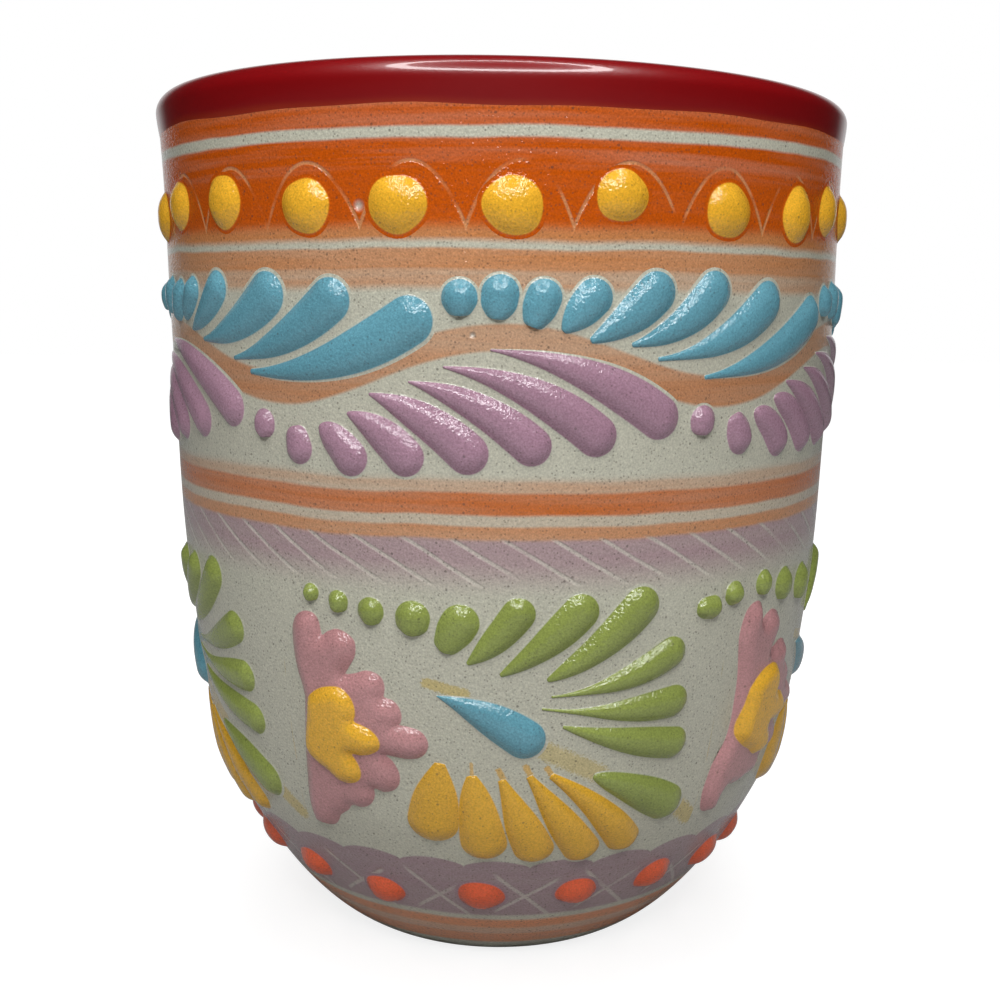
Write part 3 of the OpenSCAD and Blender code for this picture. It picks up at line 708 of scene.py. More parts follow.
# The cup as one turned skin: underside, wall, lip, inside and floor, a ring of points for each step of it
def makeCup():
    columns = np.arange(cup["columns"]) * 360 / cup["columns"]
    ringInner = cup["footWidth"] / 2 - cup["footRing"]
    hollow = cup["footHollow"]
    under = np.array([[2, hollow], [ringInner - 4, hollow], [ringInner - hollow - 0.3, hollow],
                      [ringInner - hollow, hollow - 0.1], [ringInner - 0.1, 0.1], [ringInner + 0.2, 0],
                      [cup["footWidth"] / 2 - 0.4, 0]])
    underUp = under[:, 0] - cup["footWidth"] / 2
    up = np.linspace(0.15, wallLength, cup["wallRows"])
    wallRings = onWall(columns[None], up[:, None], 0)
    lipTurn = lipStart + np.linspace(0, 180, cup["lipRows"] + 1)[1:]
    lipPoints = lipCentre + lipHalf * heading(lipTurn)
    lipUp = wallLength + lipHalf * np.radians(lipTurn - lipTurn[0])
    innerUp = np.linspace(wallLength - 1, cup["innerStart"], cup["innerRows"])
    inner = innerAt(innerUp)
    # the inside turns into the floor on a quadratic curve
    slope = innerAt(innerUp[-1] + 1) - inner[-1]
    corner = inner[-1] - slope * (inner[-1][1] - cup["floor"]) / slope[1]
    end = corner - [np.linalg.norm(inner[-1] - corner), 0]
    t = np.linspace(0, 1, cup["floorRows"])[1:, None]
    turnIn = (1 - t) ** 2 * inner[-1] + 2 * t * (1 - t) * corner + t ** 2 * end
    floor = np.array([[end[0] * share, cup["floor"]] for share in (0.75, 0.5, 0.25)])
    inside = np.concatenate([inner, turnIn, floor])
    insideUp = lipUp[-1] + np.concatenate([[1], 1 + np.cumsum(np.hypot(*np.diff(inside, axis=0).T))])
    # throwing rings spiral up the inside
    turns = insideUp[:, None] / cup["ripplePitch"] + columns[None] / 360
    ripple = cup["ripple"] * np.sin(2 * np.pi * turns)
    topFade, floorFade = cup["rippleFade"]
    fade = np.clip((insideUp - insideUp[0]) / topFade, 0, 1)
    fade = fade * np.clip((insideUp[-1] - insideUp) / floorFade, 0, 1)
    rings = np.concatenate([
        roundAxis(columns[None], under[:, :1], under[:, 1:]), wallRings,
        roundAxis(columns[None], lipPoints[:, :1], lipPoints[:, 1:]),
        roundAxis(columns[None], inside[:, :1] + ripple * fade[:, None], inside[:, 1:])])
    rowUp = np.concatenate([underUp, up, lipUp, insideUp])
    angles = np.broadcast_to(columns[None], rings.shape[:2])
    ups = np.broadcast_to(rowUp[:, None], rings.shape[:2])
    middle, half = waveAt(angles)
    wave = (ups - middle) / half * marksOnWall["waveHalf"]
    pole = np.array([0.0])
    marks = {"up": (pole + underUp[0] - 2, ups[None], pole + rowUp[-1] + 6),
             "wave": (pole - 90, wave[None], pole + 90),
             "field": (pole, fieldAngle(angles)[None], pole)}
    first, last = np.array([[0, 0, hollow * mm]]), np.array([[0, 0, cup["floor"] * mm]])
    piece = addTubes("thrownCup", first, rings[None], last, marks)
    settle(piece, "cup_body", cupMaterial())


makeCup()

# Red coat over the lip: how far it runs down each side, how thick, and how its lower edge sways
rimCoat = dict(
    outside=2.8, inside=5, thick=0.22, feather=3, tuck=0.02, under=0.12, columns=360, lipRows=25,
    sway=0.14, waves=[(1, 1.4, 0), (3, 1, 1), (7, 0.6, 0), (17, 0.5, 2)],  # waves round the lip, size, phase
)


# The coat's section: up the outside, over the lip and down the inside, then back under itself
def makeRimCoat():
    c = rimCoat
    columns = np.arange(c["columns"]) * 360 / c["columns"]
    turn = np.radians(columns)
    sway = c["sway"] * sum(size * np.sin(count * turn + phase) for count, size, phase in c["waves"])
    share = np.array([0, 0.006, 0.04, 0.125, 0.25, 0.375, 0.5, 0.625, 0.75, 0.875])  # close at the edge
    outsideUp = wallLength - (c["outside"] + sway[None]) * (1 - share[:, None])
    insideUp = wallLength - (c["inside"] + 2 * sway[None]) * (1 - share[::-1, None])
    lipTurn = lipStart + np.linspace(0, 180, c["lipRows"])
    lipSize = (c["lipRows"], len(columns), 2)
    base = np.concatenate([
        wallAt(outsideUp),
        np.broadcast_to((lipCentre + lipHalf * heading(lipTurn))[:, None], lipSize),
        innerAt(insideUp)])
    normal = np.concatenate([
        wallOut(outsideUp), np.broadcast_to(heading(lipTurn)[:, None], lipSize), -wallOut(insideUp)])
    # distance from each edge sets the thickness: a parabola over the feather, then full
    run = np.linalg.norm(np.diff(base, axis=0), axis=-1)
    fromOutside = np.concatenate([0 * run[:1], np.cumsum(run, 0)])
    fromInside = fromOutside[-1:] - fromOutside
    edge = np.clip(np.minimum(fromOutside, fromInside) / c["feather"], 0, 1)
    thick = c["thick"] * (1 - (1 - edge) ** 2)
    outer = base + (thick - c["tuck"] * (1 - edge))[..., None] * normal
    inner = (base - c["under"] * normal)[::-1]
    section = np.concatenate([outer, inner])
    thickMark = np.concatenate([thick, 0 * thick[::-1]])
    points = roundAxis(columns[None], section[..., 0], section[..., 1])
    rows, cols = points.shape[:2]
    index = np.arange(rows * cols).reshape(rows, cols)
    right = np.roll(index, -1, 1)
    above = np.roll(index, -1, 0)
    quads = np.stack([index, right, np.roll(right, -1, 0), above], -1).reshape(-1, 4)
    quadMap = quadTiles(np.arange(cols) / cols, np.arange(rows)[:, None] / rows, 1 / cols, 1 / rows)
    noFans, noFanMap = np.zeros((0, 3), int), np.zeros((0, 3, 2))
    piece = addMesh("crimsonLip", points.reshape(-1, 3), quads, noFans, quadMap.reshape(-1, 4, 2), noFanMap,
                    {"thick": thickMark})
    settle(piece, "rim_coat", rimMaterial())


makeRimCoat()


# Height of a mound at a share of its reach: a power dome, rounded into the wall by a soft maximum with 0
def mound(relief, share, power, fillet):
    dome = relief * (1 - share ** power)
    return (dome + np.sqrt(dome ** 2 + fillet ** 2)) / 2


# How unevenly slip was laid: shares of a stroke's width, taper, edge and relief; a bead's lobes and size
uneven = dict(width=0.03, taper=0.1, edge=0.05, relief=0.06, lobes=[(2, 0.035), (3, 0.025), (5, 0.012)])

# How finely slip is meshed; the base is let in from the ring with that number
slipMesh = dict(
    strokeRings=30, strokeCrowding=1.4, capRings=12, strokeAcross=25, beadSides=44, beadRings=18, beadBase=8,
    blossomRings=26, blossomBase=12, blossomSides=360, curveSteps=12,
)


# Strokes of slip. Each row is tail angle, tail height, head angle, head height, head width, bow and taper.
# Middle line: a quadratic from tail to head. Width: a power of a sine that swells from a blunt tail to a
# round head.
def layStrokes(name, piece, node, material):
    others = piece.get("others", {})
    drawn = [np.array(others.get(place, piece["strokes"]), float) + [turn, 0, turn, 0, 0, 0, 0]
             for place, turn in enumerate(piece["around"])]
    strokes = np.concatenate(drawn)
    chance = np.random.default_rng(piece["seed"])
    luck = chance.uniform(-1, 1, (len(strokes), 4))
    tail, head = strokes[:, None, 0:2], strokes[:, None, 2:4]
    half = strokes[:, 4] / 2 * (1 + uneven["width"] * luck[:, 0])
    taper = strokes[:, 6] * (1 + uneven["taper"] * luck[:, 1])
    middle = (tail + head) / 2
    scale = pairs(perDegree(middle[..., 1]), 1)
    way = (head - tail) * scale
    left = pairs(-way[..., 1], way[..., 0]) / np.linalg.norm(way, axis=-1, keepdims=True)
    bend = middle + 2 * strokes[:, None, 5:6] * left / scale
    bodyShare = np.linspace(0, 1, slipMesh["strokeRings"] + 1)[1:] ** slipMesh["strokeCrowding"]
    capTurn = np.radians(np.linspace(0, 90, slipMesh["capRings"] + 2)[1:-1])
    t = np.concatenate([bodyShare, np.ones(len(capTurn))])[None, :, None]
    cap = np.concatenate([np.zeros(len(bodyShare)), capTurn])[None, :]
    line = (1 - t) ** 2 * tail + 2 * t * (1 - t) * bend + t ** 2 * head
    step = 2 * (1 - t) * (bend - tail) + 2 * t * (head - bend)
    lineScale = pairs(perDegree(line[..., 1]), 1)
    flat = step * lineScale
    flat /= np.linalg.norm(flat, axis=-1, keepdims=True)
    side = pairs(-flat[..., 1], flat[..., 0])
    swell = piece["blunt"] + (1 - piece["blunt"]) * np.sin(np.pi / 2 * t[..., 0]) ** taper[:, None]
    swell = swell * (1 + uneven["edge"] * np.sin(7 * t[..., 0] + 6 * luck[:, 2:3]) * (1 - t[..., 0]))
    across = np.sin(np.pi / 2 * np.linspace(1, -1, slipMesh["strokeAcross"]))
    back = [-0.7, 0, 0.7]
    over = np.concatenate([across, back])  # over the top, then back under
    skirt = slip["skirt"]
    forward = skirt * np.sin(cap) * half[:, None]
    sideways = skirt * np.cos(cap)[..., None] * over * (swell * half[:, None])[..., None]
    shift = flat[:, :, None] * forward[..., None, None] + side[:, :, None] * sideways[..., None]
    spot = line[:, :, None] + shift / lineScale[:, :, None]
    share = skirt * np.sqrt(np.sin(cap)[..., None] ** 2 + (np.cos(cap)[..., None] * across) ** 2)
    rise = piece["relief"] * swell ** 0.75 * (1 + uneven["relief"] * luck[:, 3:4])
    fillet = slip["fillet"] * np.minimum(1, 2 * swell)
    thick = mound(rise[..., None], share, slip["dome"], fillet[..., None])
    under = np.zeros(thick.shape[:2] + (len(back),))
    off = np.concatenate([thick - slip["sink"], under - slip["base"]], -1)
    rings = onWall(spot[..., 0], spot[..., 1], off)
    tip = head[:, 0] + flat[:, -1] * (skirt * half)[:, None] / lineScale[:, -1]
    first = onWall(tail[:, 0, 0], tail[:, 0, 1], -slip["sink"])
    last = onWall(tip[:, 0], tip[:, 1], -slip["sink"])
    none = np.zeros(len(strokes))
    marks = {"thick": (none, np.concatenate([thick, under], -1), none)}
    settle(addTubes(name, first, rings, last, marks), node, material)


garlandBlueBeads = dict(around=garlandAngles, relief=1, blunt=0.1, seed=1, strokes=[
    [-5.7, 82.4, -5.7, 84.2, 3.5, 0, 0.36], [-0.6, 82.1, -0.2, 84.6, 3.7, 0, 0.36],
    [4.1, 81.4, 5.7, 84.3, 3.5, 0, 0.36],
])
layStrokes("blueBeads", garlandBlueBeads, "garland_blue_beads", slipMaterials["blue"])

garlandBlueLeaves = dict(around=garlandAngles, relief=0.95, blunt=0.12, seed=2, strokes=[
    [8.4, 81, 12.6, 84.3, 3.8, 0, 0.7], [12.2, 80.1, 21.7, 84.8, 4.2, -0.4, 0.8],
    [18.2, 79.7, 31.3, 85, 4.2, -0.9, 1.1], [22.2, 78.3, 42.2, 83.9, 4.6, -1.2, 1.7],
    [30.1, 76.4, 55.3, 82.5, 4.4, -1.1, 1.4],
], others={4: [  # fuller leaves before the front
    [8.5, 81.5, 11.7, 84.7, 3.3, 0, 0.7], [11.3, 80.5, 19.8, 84.9, 4, -0.4, 1],
    [15.3, 79.5, 31.6, 84.3, 4.9, -1, 1.4], [23.9, 77.7, 42.9, 83.8, 4.6, -1.1, 1.5],
    [27.6, 76.4, 54.7, 81.9, 4.9, -1.6, 1.4],
]})
layStrokes("blueLeaves", garlandBlueLeaves, "garland_blue_leaves", slipMaterials["blue"])

# The lilac strokes after the front lie a little higher, and the first of them are fuller
lilacLift = np.array([0, 0.9, 0, 0.9, 0, 0, 0])
garlandLilacBeads = dict(around=garlandAngles, relief=0.9, blunt=0.1, seed=3, strokes=[
    [-37.2, 69.6, -37.2, 71.1, 3.1, 0, 0.36], [-31.2, 71.1, -30.5, 68.8, 3.4, 0, 0.36],
], others={1: [[-37.2, 70.5, -37.2, 72, 3.1, 0, 0.36], [-31.2, 72.5, -29.6, 70, 3.6, 0, 0.36]]})
layStrokes("lilacBeads", garlandLilacBeads, "garland_lilac_beads", slipMaterials["lilac"])

garlandLilacLeaves = dict(around=garlandAngles, relief=0.9, blunt=0.06, seed=4, strokes=[
    [-26.7, 71.3, -21.8, 68.2, 3.7, 0.2, 0.5], [-22.2, 72.7, -13.5, 68.5, 3.9, 0.5, 0.75],
    [-18.8, 74.7, -4.6, 69, 4.1, 0.7, 0.85], [-13, 76, 4.3, 69.8, 4, 0.9, 0.95],
    [-8.1, 77.5, 13.4, 70.8, 4.1, 1.2, 1], [-1.6, 79.2, 22.8, 72.5, 4.4, 1.2, 1.15],
])
garlandLilacLeaves["others"] = {1: np.array([
    [-26.8, 71.7, -20.4, 68.6, 3.9, 0.4, 0.55], [-22, 73.1, -12.4, 68.7, 4.1, 0.6, 0.65],
] + garlandLilacLeaves["strokes"][2:]) + lilacLift}
layStrokes("lilacLeaves", garlandLilacLeaves, "garland_lilac_leaves", slipMaterials["lilac"])

sprayGreenBeads = dict(around=fieldAngles, relief=1, blunt=0.1, seed=5, strokes=[
    [-29.6, 52.7, -29.6, 53.6, 1.9, 0, 0.36], [-24.8, 51.8, -24.8, 53, 2.4, 0, 0.36],
    [-19.4, 50.8, -19.4, 52.3, 3, 0, 0.36], [-13.1, 50, -12.8, 51.9, 3.7, 0, 0.36],
    [-8.4, 48.5, -5.7, 51.6, 4, 0, 0.36],
], others={1: [  # further apart after the front
    [-44.4, 52, -41.2, 51.9, 2.6, 0, 0.36], [-38.6, 53.2, -36.6, 53, 2.7, 0, 0.36],
    [-29.1, 52.1, -29.1, 53.5, 2.8, 0, 0.36], [-22.1, 50.7, -22.1, 52.6, 3.8, 0, 0.36],
    [-14, 49.7, -13.6, 51.9, 4.2, 0, 0.36],
]})
layStrokes("greenBeads", sprayGreenBeads, "spray_green_beads", slipMaterials["green"])

sprayGreenLeaves = dict(around=fieldAngles, relief=0.95, blunt=0.1, seed=6, strokes=[
    [-4.7, 47.2, 2.8, 52.6, 3.5, -0.3, 0.8], [0.2, 46, 12, 52.7, 3.8, -0.4, 0.85],
    [7.3, 45.4, 21.5, 53, 4.1, -0.6, 0.9], [8, 43.6, 27.3, 47.5, 3.7, -0.8, 1.8],
    [6.6, 42.3, 28.6, 41.9, 3.8, -0.5, 2.5], [10, 40.2, 29.6, 36.9, 3.7, -0.3, 1.1],
    [15.6, 34.2, 30.2, 29.4, 4.5, 0.2, 0.7],
])
layStrokes("greenLeaves", sprayGreenLeaves, "spray_green_leaves", slipMaterials["green"])

sprayBlueDrops = dict(around=fieldAngles, relief=1, blunt=0.03, seed=7,
                      strokes=[[-9.5, 43.6, 4.1, 38.9, 4.4, 0.4, 0.9]])
layStrokes("blueDrops", sprayBlueDrops, "spray_blue_drops", slipMaterials["blue"])

sprayYellowPetals = dict(around=fieldAngles, relief=0.95, blunt=0.2, seed=8, strokes=[
    [-9.2, 35.9, -10.9, 28.5, 5.7, 0, 0.8], [-4.2, 34.6, -2.3, 25.8, 4.9, 0, 0.8],
    [0.6, 34.2, 6.5, 24.9, 4.5, 0, 1.1], [5, 34.6, 15.2, 24.5, 4.2, 0, 1.15],
    [8.5, 34.6, 23, 25.3, 4, 0.6, 1.15],
])
layStrokes("yellowPetals", sprayYellowPetals, "spray_yellow_petals",
           slipMaterials["petalYellow"])


# Beads set by hand: a dome over a round outline that wavers a little
def layBeads(name, piece, node, material):
    count = piece["count"]
    shift = np.array(piece["set"])[np.arange(count) % len(piece["set"])]
    chance = np.random.default_rng(piece["seed"])
    phase = chance.uniform(0, 2 * np.pi, (count, 3))[..., None]
    ways = np.arange(slipMesh["beadSides"]) * 360 / slipMesh["beadSides"]
    turn = np.radians(ways)[None]
    waver = sum(size * np.cos(lobes * turn + phase[:, k]) for k, (lobes, size) in enumerate(uneven["lobes"]))
    reach = piece["width"] / 2 * shift[:, 2:3] * (1 + waver)
    angle = piece["turn"] + np.arange(count) * 360 / count + shift[:, 0]
    up = piece["up"] + shift[:, 1]
    share = slip["skirt"] * np.sin(np.pi / 2 * np.linspace(0, 1, slipMesh["beadRings"] + 1)[1:])
    flat = reach[:, None, :, None] * share[None, :, None, None] * heading(ways)[None, None]
    spotAngle = angle[:, None, None] + flat[..., 0] / perDegree(up)[:, None, None]
    spotUp = up[:, None, None] + flat[..., 1]
    height = mound(piece["relief"], share, piece["dome"], slip["fillet"])
    thick = np.broadcast_to(height[None, :, None], spotUp.shape)
    top = onWall(spotAngle, spotUp, thick - slip["sink"])
    ring = [slipMesh["beadBase"]]
    base = onWall(spotAngle[:, ring], spotUp[:, ring], -slip["base"])
    crown = mound(piece["relief"], 0.0, piece["dome"], slip["fillet"])
    first = onWall(angle, up, crown - slip["sink"])
    last = onWall(angle, up, -slip["base"])
    ringMarks = np.concatenate([thick, 0 * thick[:, ring]], 1)
    marks = {"thick": (np.full(count, crown), ringMarks, np.zeros(count))}
    settle(addTubes(name, first, np.concatenate([top, base], 1), last, marks), node, material)


collarBeads = dict(count=24, turn=1.5, up=93.4, width=5.5, relief=1.0, dome=2.6, seed=11, set=[
    [-0.1, -0.5, 1.03], [-0.3, 0.6, 0.92], [1.8, -0.4, 1], [2.4, -0.3, 1.04],
    [-1, 0.5, 0.98], [-1.1, 0.4, 1.02], [0.4, -0.4, 0.99], [-0.7, -0.4, 1.03],
])
layBeads("collarYellowBeads", collarBeads, "collar_beads", slipMaterials["yellow"])

footBeads = dict(count=20, turn=-3, up=16.4, width=4.9, relief=1.05, dome=2.4, seed=12, set=[
    [-0.2, 0, 1.06], [1.7, 0.2, 0.97], [1.8, 0.7, 1], [1.7, 0.5, 1.02], [-0.5, 0.3, 1],
    [-0.2, 0.1, 1.02], [-3.2, 0.4, 0.96], [-3.6, 0.9, 1], [-4.2, 0.2, 1], [-3.6, -1, 1],
])
layBeads("footCoralBeads", footBeads, "foot_beads", slipMaterials["coral"])

# Half-flowers. Outlines go clockwise round the middle, in millimetres along the wall.
flower = dict(
    angle=-30, up=39, relief=1.0, rounding=2, shift=(0, 0),
    outline=[
        [-2.45, 10.6], [-1.9, 11.7], [-0.9, 12.35], [0.2, 12.35], [0.9, 11.7], [1.15, 10.6], [1.3, 10],
        [2, 10.5], [3.1, 10.9], [4.2, 10.6], [5.05, 9.9], [5.2, 9], [5, 8], [4.35, 6.9], [3.85, 6.05],
        [5, 6.25], [6.2, 6.7], [7.3, 6.55], [8, 6], [8.25, 5.1], [8.15, 4.3], [8.15, 3.95], [9.1, 3.65],
        [9.75, 2.9], [9.95, 1.9], [9.75, 1.1], [9.6, 0.95], [10.6, 0.85], [11.7, 0.55], [12.4, -0.1],
        [12.7, -1], [12.4, -2], [11.6, -2.7], [10.4, -2.95], [9, -2.85], [7.9, -2.75], [8.6, -3.4],
        [9.15, -4.4], [9.3, -5.4], [9, -6.4], [8.2, -7.1], [7.1, -7.35], [6.1, -7.1], [6.05, -7.9],
        [5.7, -8.8], [5, -9.5], [4, -9.85], [2.9, -9.8], [2.3, -10.5], [1.5, -11.1], [0.9, -11.6],
        [0.45, -12.4], [-0.3, -13.2], [-1.4, -13.6], [-2.6, -13.5], [-3.35, -12.9], [-3.45, -11.5],
        [-3.3, -9.5], [-3, -7.5], [-2.75, -5.5], [-2.5, -3.5], [-2.3, -2], [-2.05, -0.5], [-1.85, 1],
        [-1.7, 2.5], [-1.9, 4], [-2.3, 5.5], [-2.55, 7.5], [-2.6, 9.2],
    ],
)
leaningFlower = dict(
    flower,
    outline=flower["outline"][:47] + [
        [3, -9.9], [1.5, -10.2], [0, -9.95], [-0.8, -10.5], [-1.1, -11.5], [-1.4, -12.6], [-2.2, -13],
        [-3.2, -12.8], [-4, -12.2], [-4.5, -11], [-4.65, -9.5], [-4.4, -8], [-4, -6.3], [-3.3, -5],
        [-2.7, -4], [-2.3, -2.8], [-2.1, -1], [-2.1, 1], [-2.15, 3.5], [-2.4, 5.5], [-2.7, 7.5], [-2.8, 9],
    ],
)
flowerCentre = dict(
    relief=0.9, rounding=1.7, shift=(0.35, 0.35),
    outline=[
        [-1.25, 1.6], [-0.9, 2.6], [-0.1, 3.45], [1, 4.15], [2.4, 4.5], [3.5, 4.35], [4.35, 3.7], [4.8, 2.7],
        [4.85, 1.7], [4.7, 0.9], [5.6, 0.55], [6.5, 0.15], [7.2, -0.6], [7.4, -1.4], [7.05, -2.2],
        [6.2, -2.7], [5.1, -2.95], [4.1, -3], [4.6, -3.9], [4.9, -4.9], [4.7, -5.8], [4, -6.4], [3, -6.6],
        [1.9, -6.35], [0.8, -5.5], [-0.3, -4.9], [-1.3, -4.2], [-2, -3.3], [-2.1, -2.2], [-1.85, -1],
        [-1.5, 0.3],
    ],
)


# Closed curve through an outline: each stretch is a cubic whose ends aim along the points before and after
# it, and the curve is then cut into even steps
def closedCurve(blossom):
    knots = (np.array(blossom["outline"]) + blossom["shift"])[:, None]
    before, after, later = (np.roll(knots, k, 0) for k in (1, -1, -2))
    t = np.linspace(0, 1, slipMesh["curveSteps"], endpoint=False)[None, :, None]
    bent = 2 * before - 5 * knots + 4 * after - later + t * (3 * knots - before - 3 * after + later)
    curve = (knots + t * (after - before + t * bent) / 2).reshape(-1, 2)
    curve = np.concatenate([curve, curve[:1]])
    run = np.concatenate([[0], np.cumsum(np.hypot(*np.diff(curve, axis=0).T))])
    even = np.linspace(0, run[-1], slipMesh["blossomSides"], endpoint=False)
    return pairs(np.interp(even, run, curve[:, 0]), np.interp(even, run, curve[:, 1]))


# Height of a blossom: it rises from its outline as a power curve over the rounding, and is level further in
def blossomHeight(blossom, spots):
    edge = closedCurve(blossom)
    ways = np.degrees(np.arctan2(edge[:, 1], edge[:, 0]))
    toward = np.degrees(np.arctan2(spots[..., 1], spots[..., 0]))
    limit = np.interp(toward, ways, np.hypot(*edge.T), period=360)
    between = np.concatenate([edge, (edge + np.roll(edge, -1, 0)) / 2]).astype(np.float32)
    gaps = np.linalg.norm(spots.astype(np.float32)[..., None, :] - between, axis=-1).min(-1)
    depth = np.where(np.hypot(spots[..., 0], spots[..., 1]) <= limit, gaps, -gaps) / blossom["rounding"]
    power = slip["blossomDome"]
    dome = np.where(depth > 0, 1 - (1 - np.clip(depth, 0, 1)) ** power, power * depth)
    return mound(blossom["relief"] * dome, 0.0, 1, slip["fillet"])


# Rings of spots on a blossom: shares of its outline, then a skirt that keeps its width in millimetres
def blossomSpots(blossom):
    edge = closedCurve(blossom)[None]
    step = np.linspace(0, 1, slipMesh["blossomRings"] + 1)[:, None, None]
    share = slip["skirt"] * np.sin(np.pi / 2 * step)
    skirt = 2 * (share - 1) * edge / np.linalg.norm(edge, axis=-1, keepdims=True)
    return np.where(share <= 1, share * edge, edge + skirt)


# Blossoms on the wall, petals first and then the centre that lies on them
def layFlowers():
    count = len(fieldAngles)
    scale = perDegree(np.array(flower["up"]))
    shapes = [leaningFlower if place == 1 else flower for place in range(count)]
    jobs = [("pinkPetals", shapes, False, "flower_petals", "pink_slip", "pink"),
            ("yellowCentres", [flowerCentre] * count, True, "flower_centres", "yellow_slip", "centre")]
    for name, blossoms, onPetals, node, slot, colour in jobs:
        spots = np.stack([blossomSpots(blossom) for blossom in blossoms])
        thick = np.stack([blossomHeight(blossom, spots[place]) for place, blossom in enumerate(blossoms)])
        ground = np.stack([blossomHeight(petals, spots[place]) for place, petals in enumerate(shapes)])
        ground = ground * onPetals
        spotAngle = fieldAngles[:, None, None] + flower["angle"] + spots[..., 0] / scale
        spotUp = flower["up"] + spots[..., 1]
        top = onWall(spotAngle, spotUp, ground + thick - slip["sink"])
        ring = [slipMesh["blossomBase"]]
        base = onWall(spotAngle[:, ring], spotUp[:, ring], -slip["base"])
        last = onWall(fieldAngles + flower["angle"], np.full(count, float(flower["up"])), -slip["base"])
        ringMarks = np.concatenate([thick[:, 1:], 0 * thick[:, ring]], 1)
        marks = {"thick": (thick[:, 0, 0], ringMarks, np.zeros(count))}
        piece = addTubes(name, top[:, 0, 0], np.concatenate([top[:, 1:], base], 1), last, marks)
        settle(piece, node, slipMaterials[colour])


layFlowers()

# Floor and lamps, in metres and degrees
studio = dict(
    floorHalf=1.5, floorGlow=(0.84, 1.0), floorClear=(0.03, 0.1), floorGrey=0.26, floorBounce=0.46,
    ambient=0.06, around=0.01, behind=0.7, behindFrom=0.74, behindTo=0.92,
    ringTarget=(-0.003, -0.042, 0.09), ringElevation=58, ringDistance=0.21, ringOuter=0.13, ringInner=0.1,
    ringWide=0.9, ringShift=0.0139, ringSides=96, ringStrength=14.6,
    fillTarget=(0, 0, 0.05), fillElevation=42, fillDistance=0.6, fillHalf=0.2, fillStrength=3.4,
)


# White for the camera, dim in front and white behind for reflections, an even light for the rest
def makeWorld():
    world = bpy.data.worlds.new("whiteStudio")
    bpy.context.scene.world = world
    world.use_nodes = True
    tree = world.node_tree
    tree.nodes.clear()
    way = source(tree, "TexCoord", "Generated")
    depth = follow("SeparateXYZ", "Y", {"Vector": way})
    behind = ease(depth, studio["behindFrom"], studio["behindTo"])
    path = addNode(tree, "LightPath").outputs
    seen = mixColour(behind, greyOf(studio["around"]), greyOf(studio["behind"]))
    light = mixColour(Wire(path["Is Glossy Ray"]), greyOf(studio["ambient"]), seen)
    clear = calc("MAXIMUM", Wire(path["Is Camera Ray"]), Wire(path["Is Transmission Ray"]))
    shine = follow("Background", 0, {"Color": mixColour(clear, light, greyOf(1)), "Strength": 1.0})
    addNode(tree, "OutputWorld", {"Surface": shine})


# Mesh of the studio, with a material that is still empty
def addStage(name, points, faces, placing=Matrix()):
    mesh = bpy.data.meshes.new(name)
    mesh.from_pydata(points, [], faces)
    mesh.transform(placing)
    stage = bpy.data.objects.new(name, mesh)
    bpy.context.scene.collection.objects.link(stage)
    material = bpy.data.materials.new(name + "Surface")
    material.use_nodes = True
    material.node_tree.nodes.clear()
    mesh.materials.append(material)
    return stage, material.node_tree


# Floor: a pale grey that the camera sees as white, with the cup's shadow left on it
def makeFloor():
    s = studio
    half = s["floorHalf"]
    square = [(-half, -half, 0), (half, -half, 0), (half, half, 0), (-half, half, 0)]
    floor, tree = addStage("floor", square, [(0, 1, 2, 3)])
    grey, bounce = (source(tree, "BsdfDiffuse", 0, {"Color": greyOf(level)})
                    for level in (s["floorGrey"], s["floorBounce"]))
    # the glow makes up for the lamp's light, which falls off away from the cup
    place = source(tree, "TexCoord", "Object")
    away = follow("VectorMath", "Value", {0: place}, operation="LENGTH")
    level = follow("MapRange", "Result", {
        "Value": away, "From Min": s["floorClear"][0], "From Max": s["floorClear"][1],
        "To Min": s["floorGlow"][0], "To Max": s["floorGlow"][1]})
    glow = follow("Emission", 0, {"Strength": level})
    white = follow("AddShader", 0, {0: grey, 1: glow})
    seen = source(tree, "LightPath", "Is Camera Ray")
    mix = follow("MixShader", 0, {0: seen, 1: bounce, 2: white})
    addNode(tree, "OutputMaterial", {"Surface": mix})


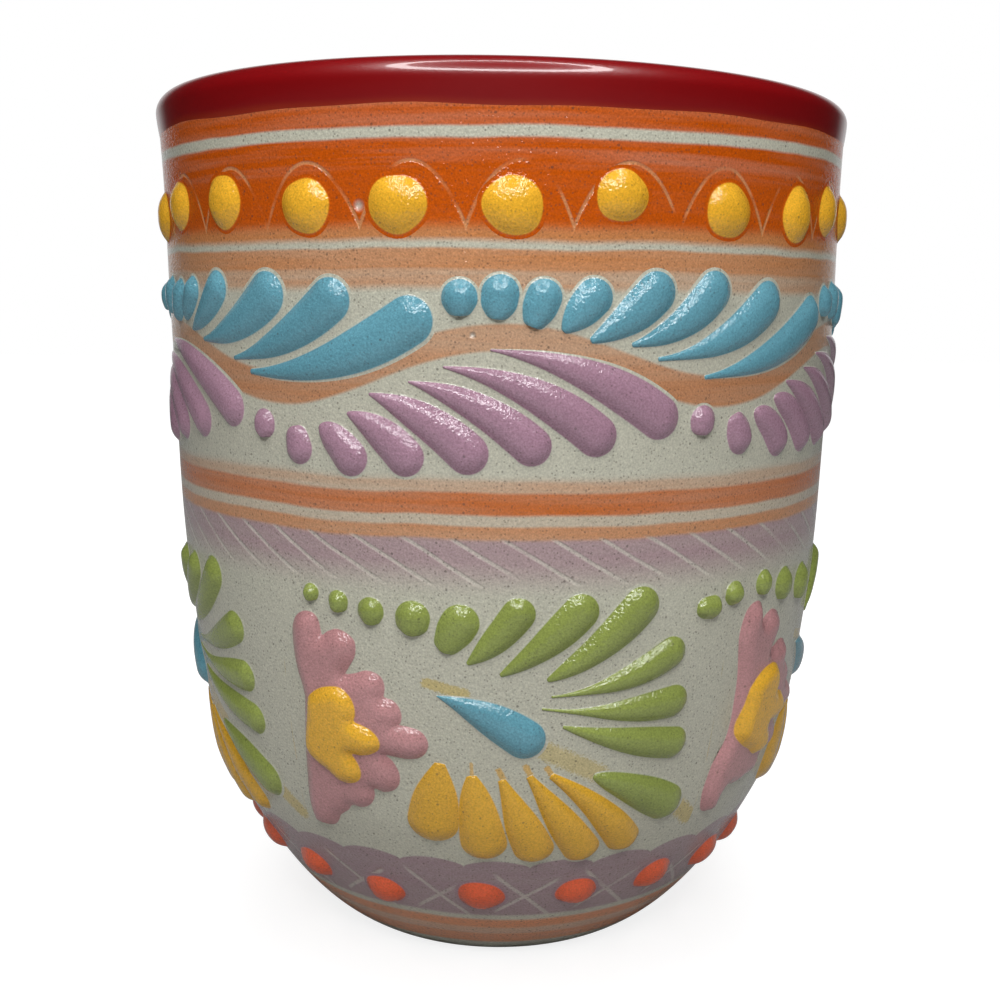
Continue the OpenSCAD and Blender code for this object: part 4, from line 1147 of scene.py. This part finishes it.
# A lamp that the camera doesn't see; side is -1 in front, where it shows in the glaze, and 1 behind
def addLamp(name, points, faces, target, side, elevation, distance, strength):
    raised = math.radians(elevation)
    target = Vector(target)
    spot = target + distance * Vector((0, side * math.cos(raised), math.sin(raised)))
    facing = (spot - target).to_track_quat("Z", "Y").to_matrix().to_4x4()
    lamp, tree = addStage(name, points.tolist(), faces, Matrix.Translation(spot) @ facing)
    lamp.visible_camera = False
    lamp.visible_shadow = False
    lamp.visible_glossy = side < 0
    glow = source(tree, "Emission", 0, {"Strength": strength})
    addNode(tree, "OutputMaterial", {"Surface": glow})


# Ring lamp over the front, a flat oval ring that is wider at its lower side, and a square lamp behind
def makeLamps():
    s = studio
    sides = s["ringSides"]
    turn = np.radians(np.arange(sides) * 360 / sides)
    circle = np.stack([s["ringWide"] * np.cos(turn), np.sin(turn), 0 * turn], -1)
    ring = np.concatenate([s["ringOuter"] * circle, s["ringInner"] * circle + [0, s["ringShift"], 0]])
    here = np.arange(sides)
    there = np.roll(here, -1)
    faces = np.stack([here, there, there + sides, here + sides], -1).tolist()
    addLamp("ringLamp", ring, faces, s["ringTarget"], -1, s["ringElevation"], s["ringDistance"],
            s["ringStrength"])
    square = s["fillHalf"] * np.array([[-1, -1, 0], [1, -1, 0], [1, 1, 0], [-1, 1, 0]])
    addLamp("fillLamp", square, [[0, 1, 2, 3]], s["fillTarget"], 1, s["fillElevation"], s["fillDistance"],
            s["fillStrength"])


makeWorld()
makeFloor()
makeLamps()
print("floor and light made")

# Camera at the photograph's place: close in front, looking a little down
view = dict(place=(0, -0.16756, 0.07773), pitch=8.841, roll=0.508, lens=46.81, sensor=36, clip=0.01)
cameraData = bpy.data.cameras.new("frontCamera")
cameraData.lens = view["lens"]
cameraData.sensor_width = view["sensor"]
cameraData.clip_start = view["clip"]
camera = bpy.data.objects.new("frontCamera", cameraData)
bpy.context.scene.collection.objects.link(camera)
camera.matrix_world = (Matrix.Translation(view["place"])
                       @ Matrix.Rotation(math.radians(90 - view["pitch"]), 4, "X")
                       @ Matrix.Rotation(math.radians(view["roll"]), 4, "Z"))
bpy.context.scene.camera = camera
bpy.context.scene.view_settings.view_transform = "Standard"

bpy.context.view_layer.update()
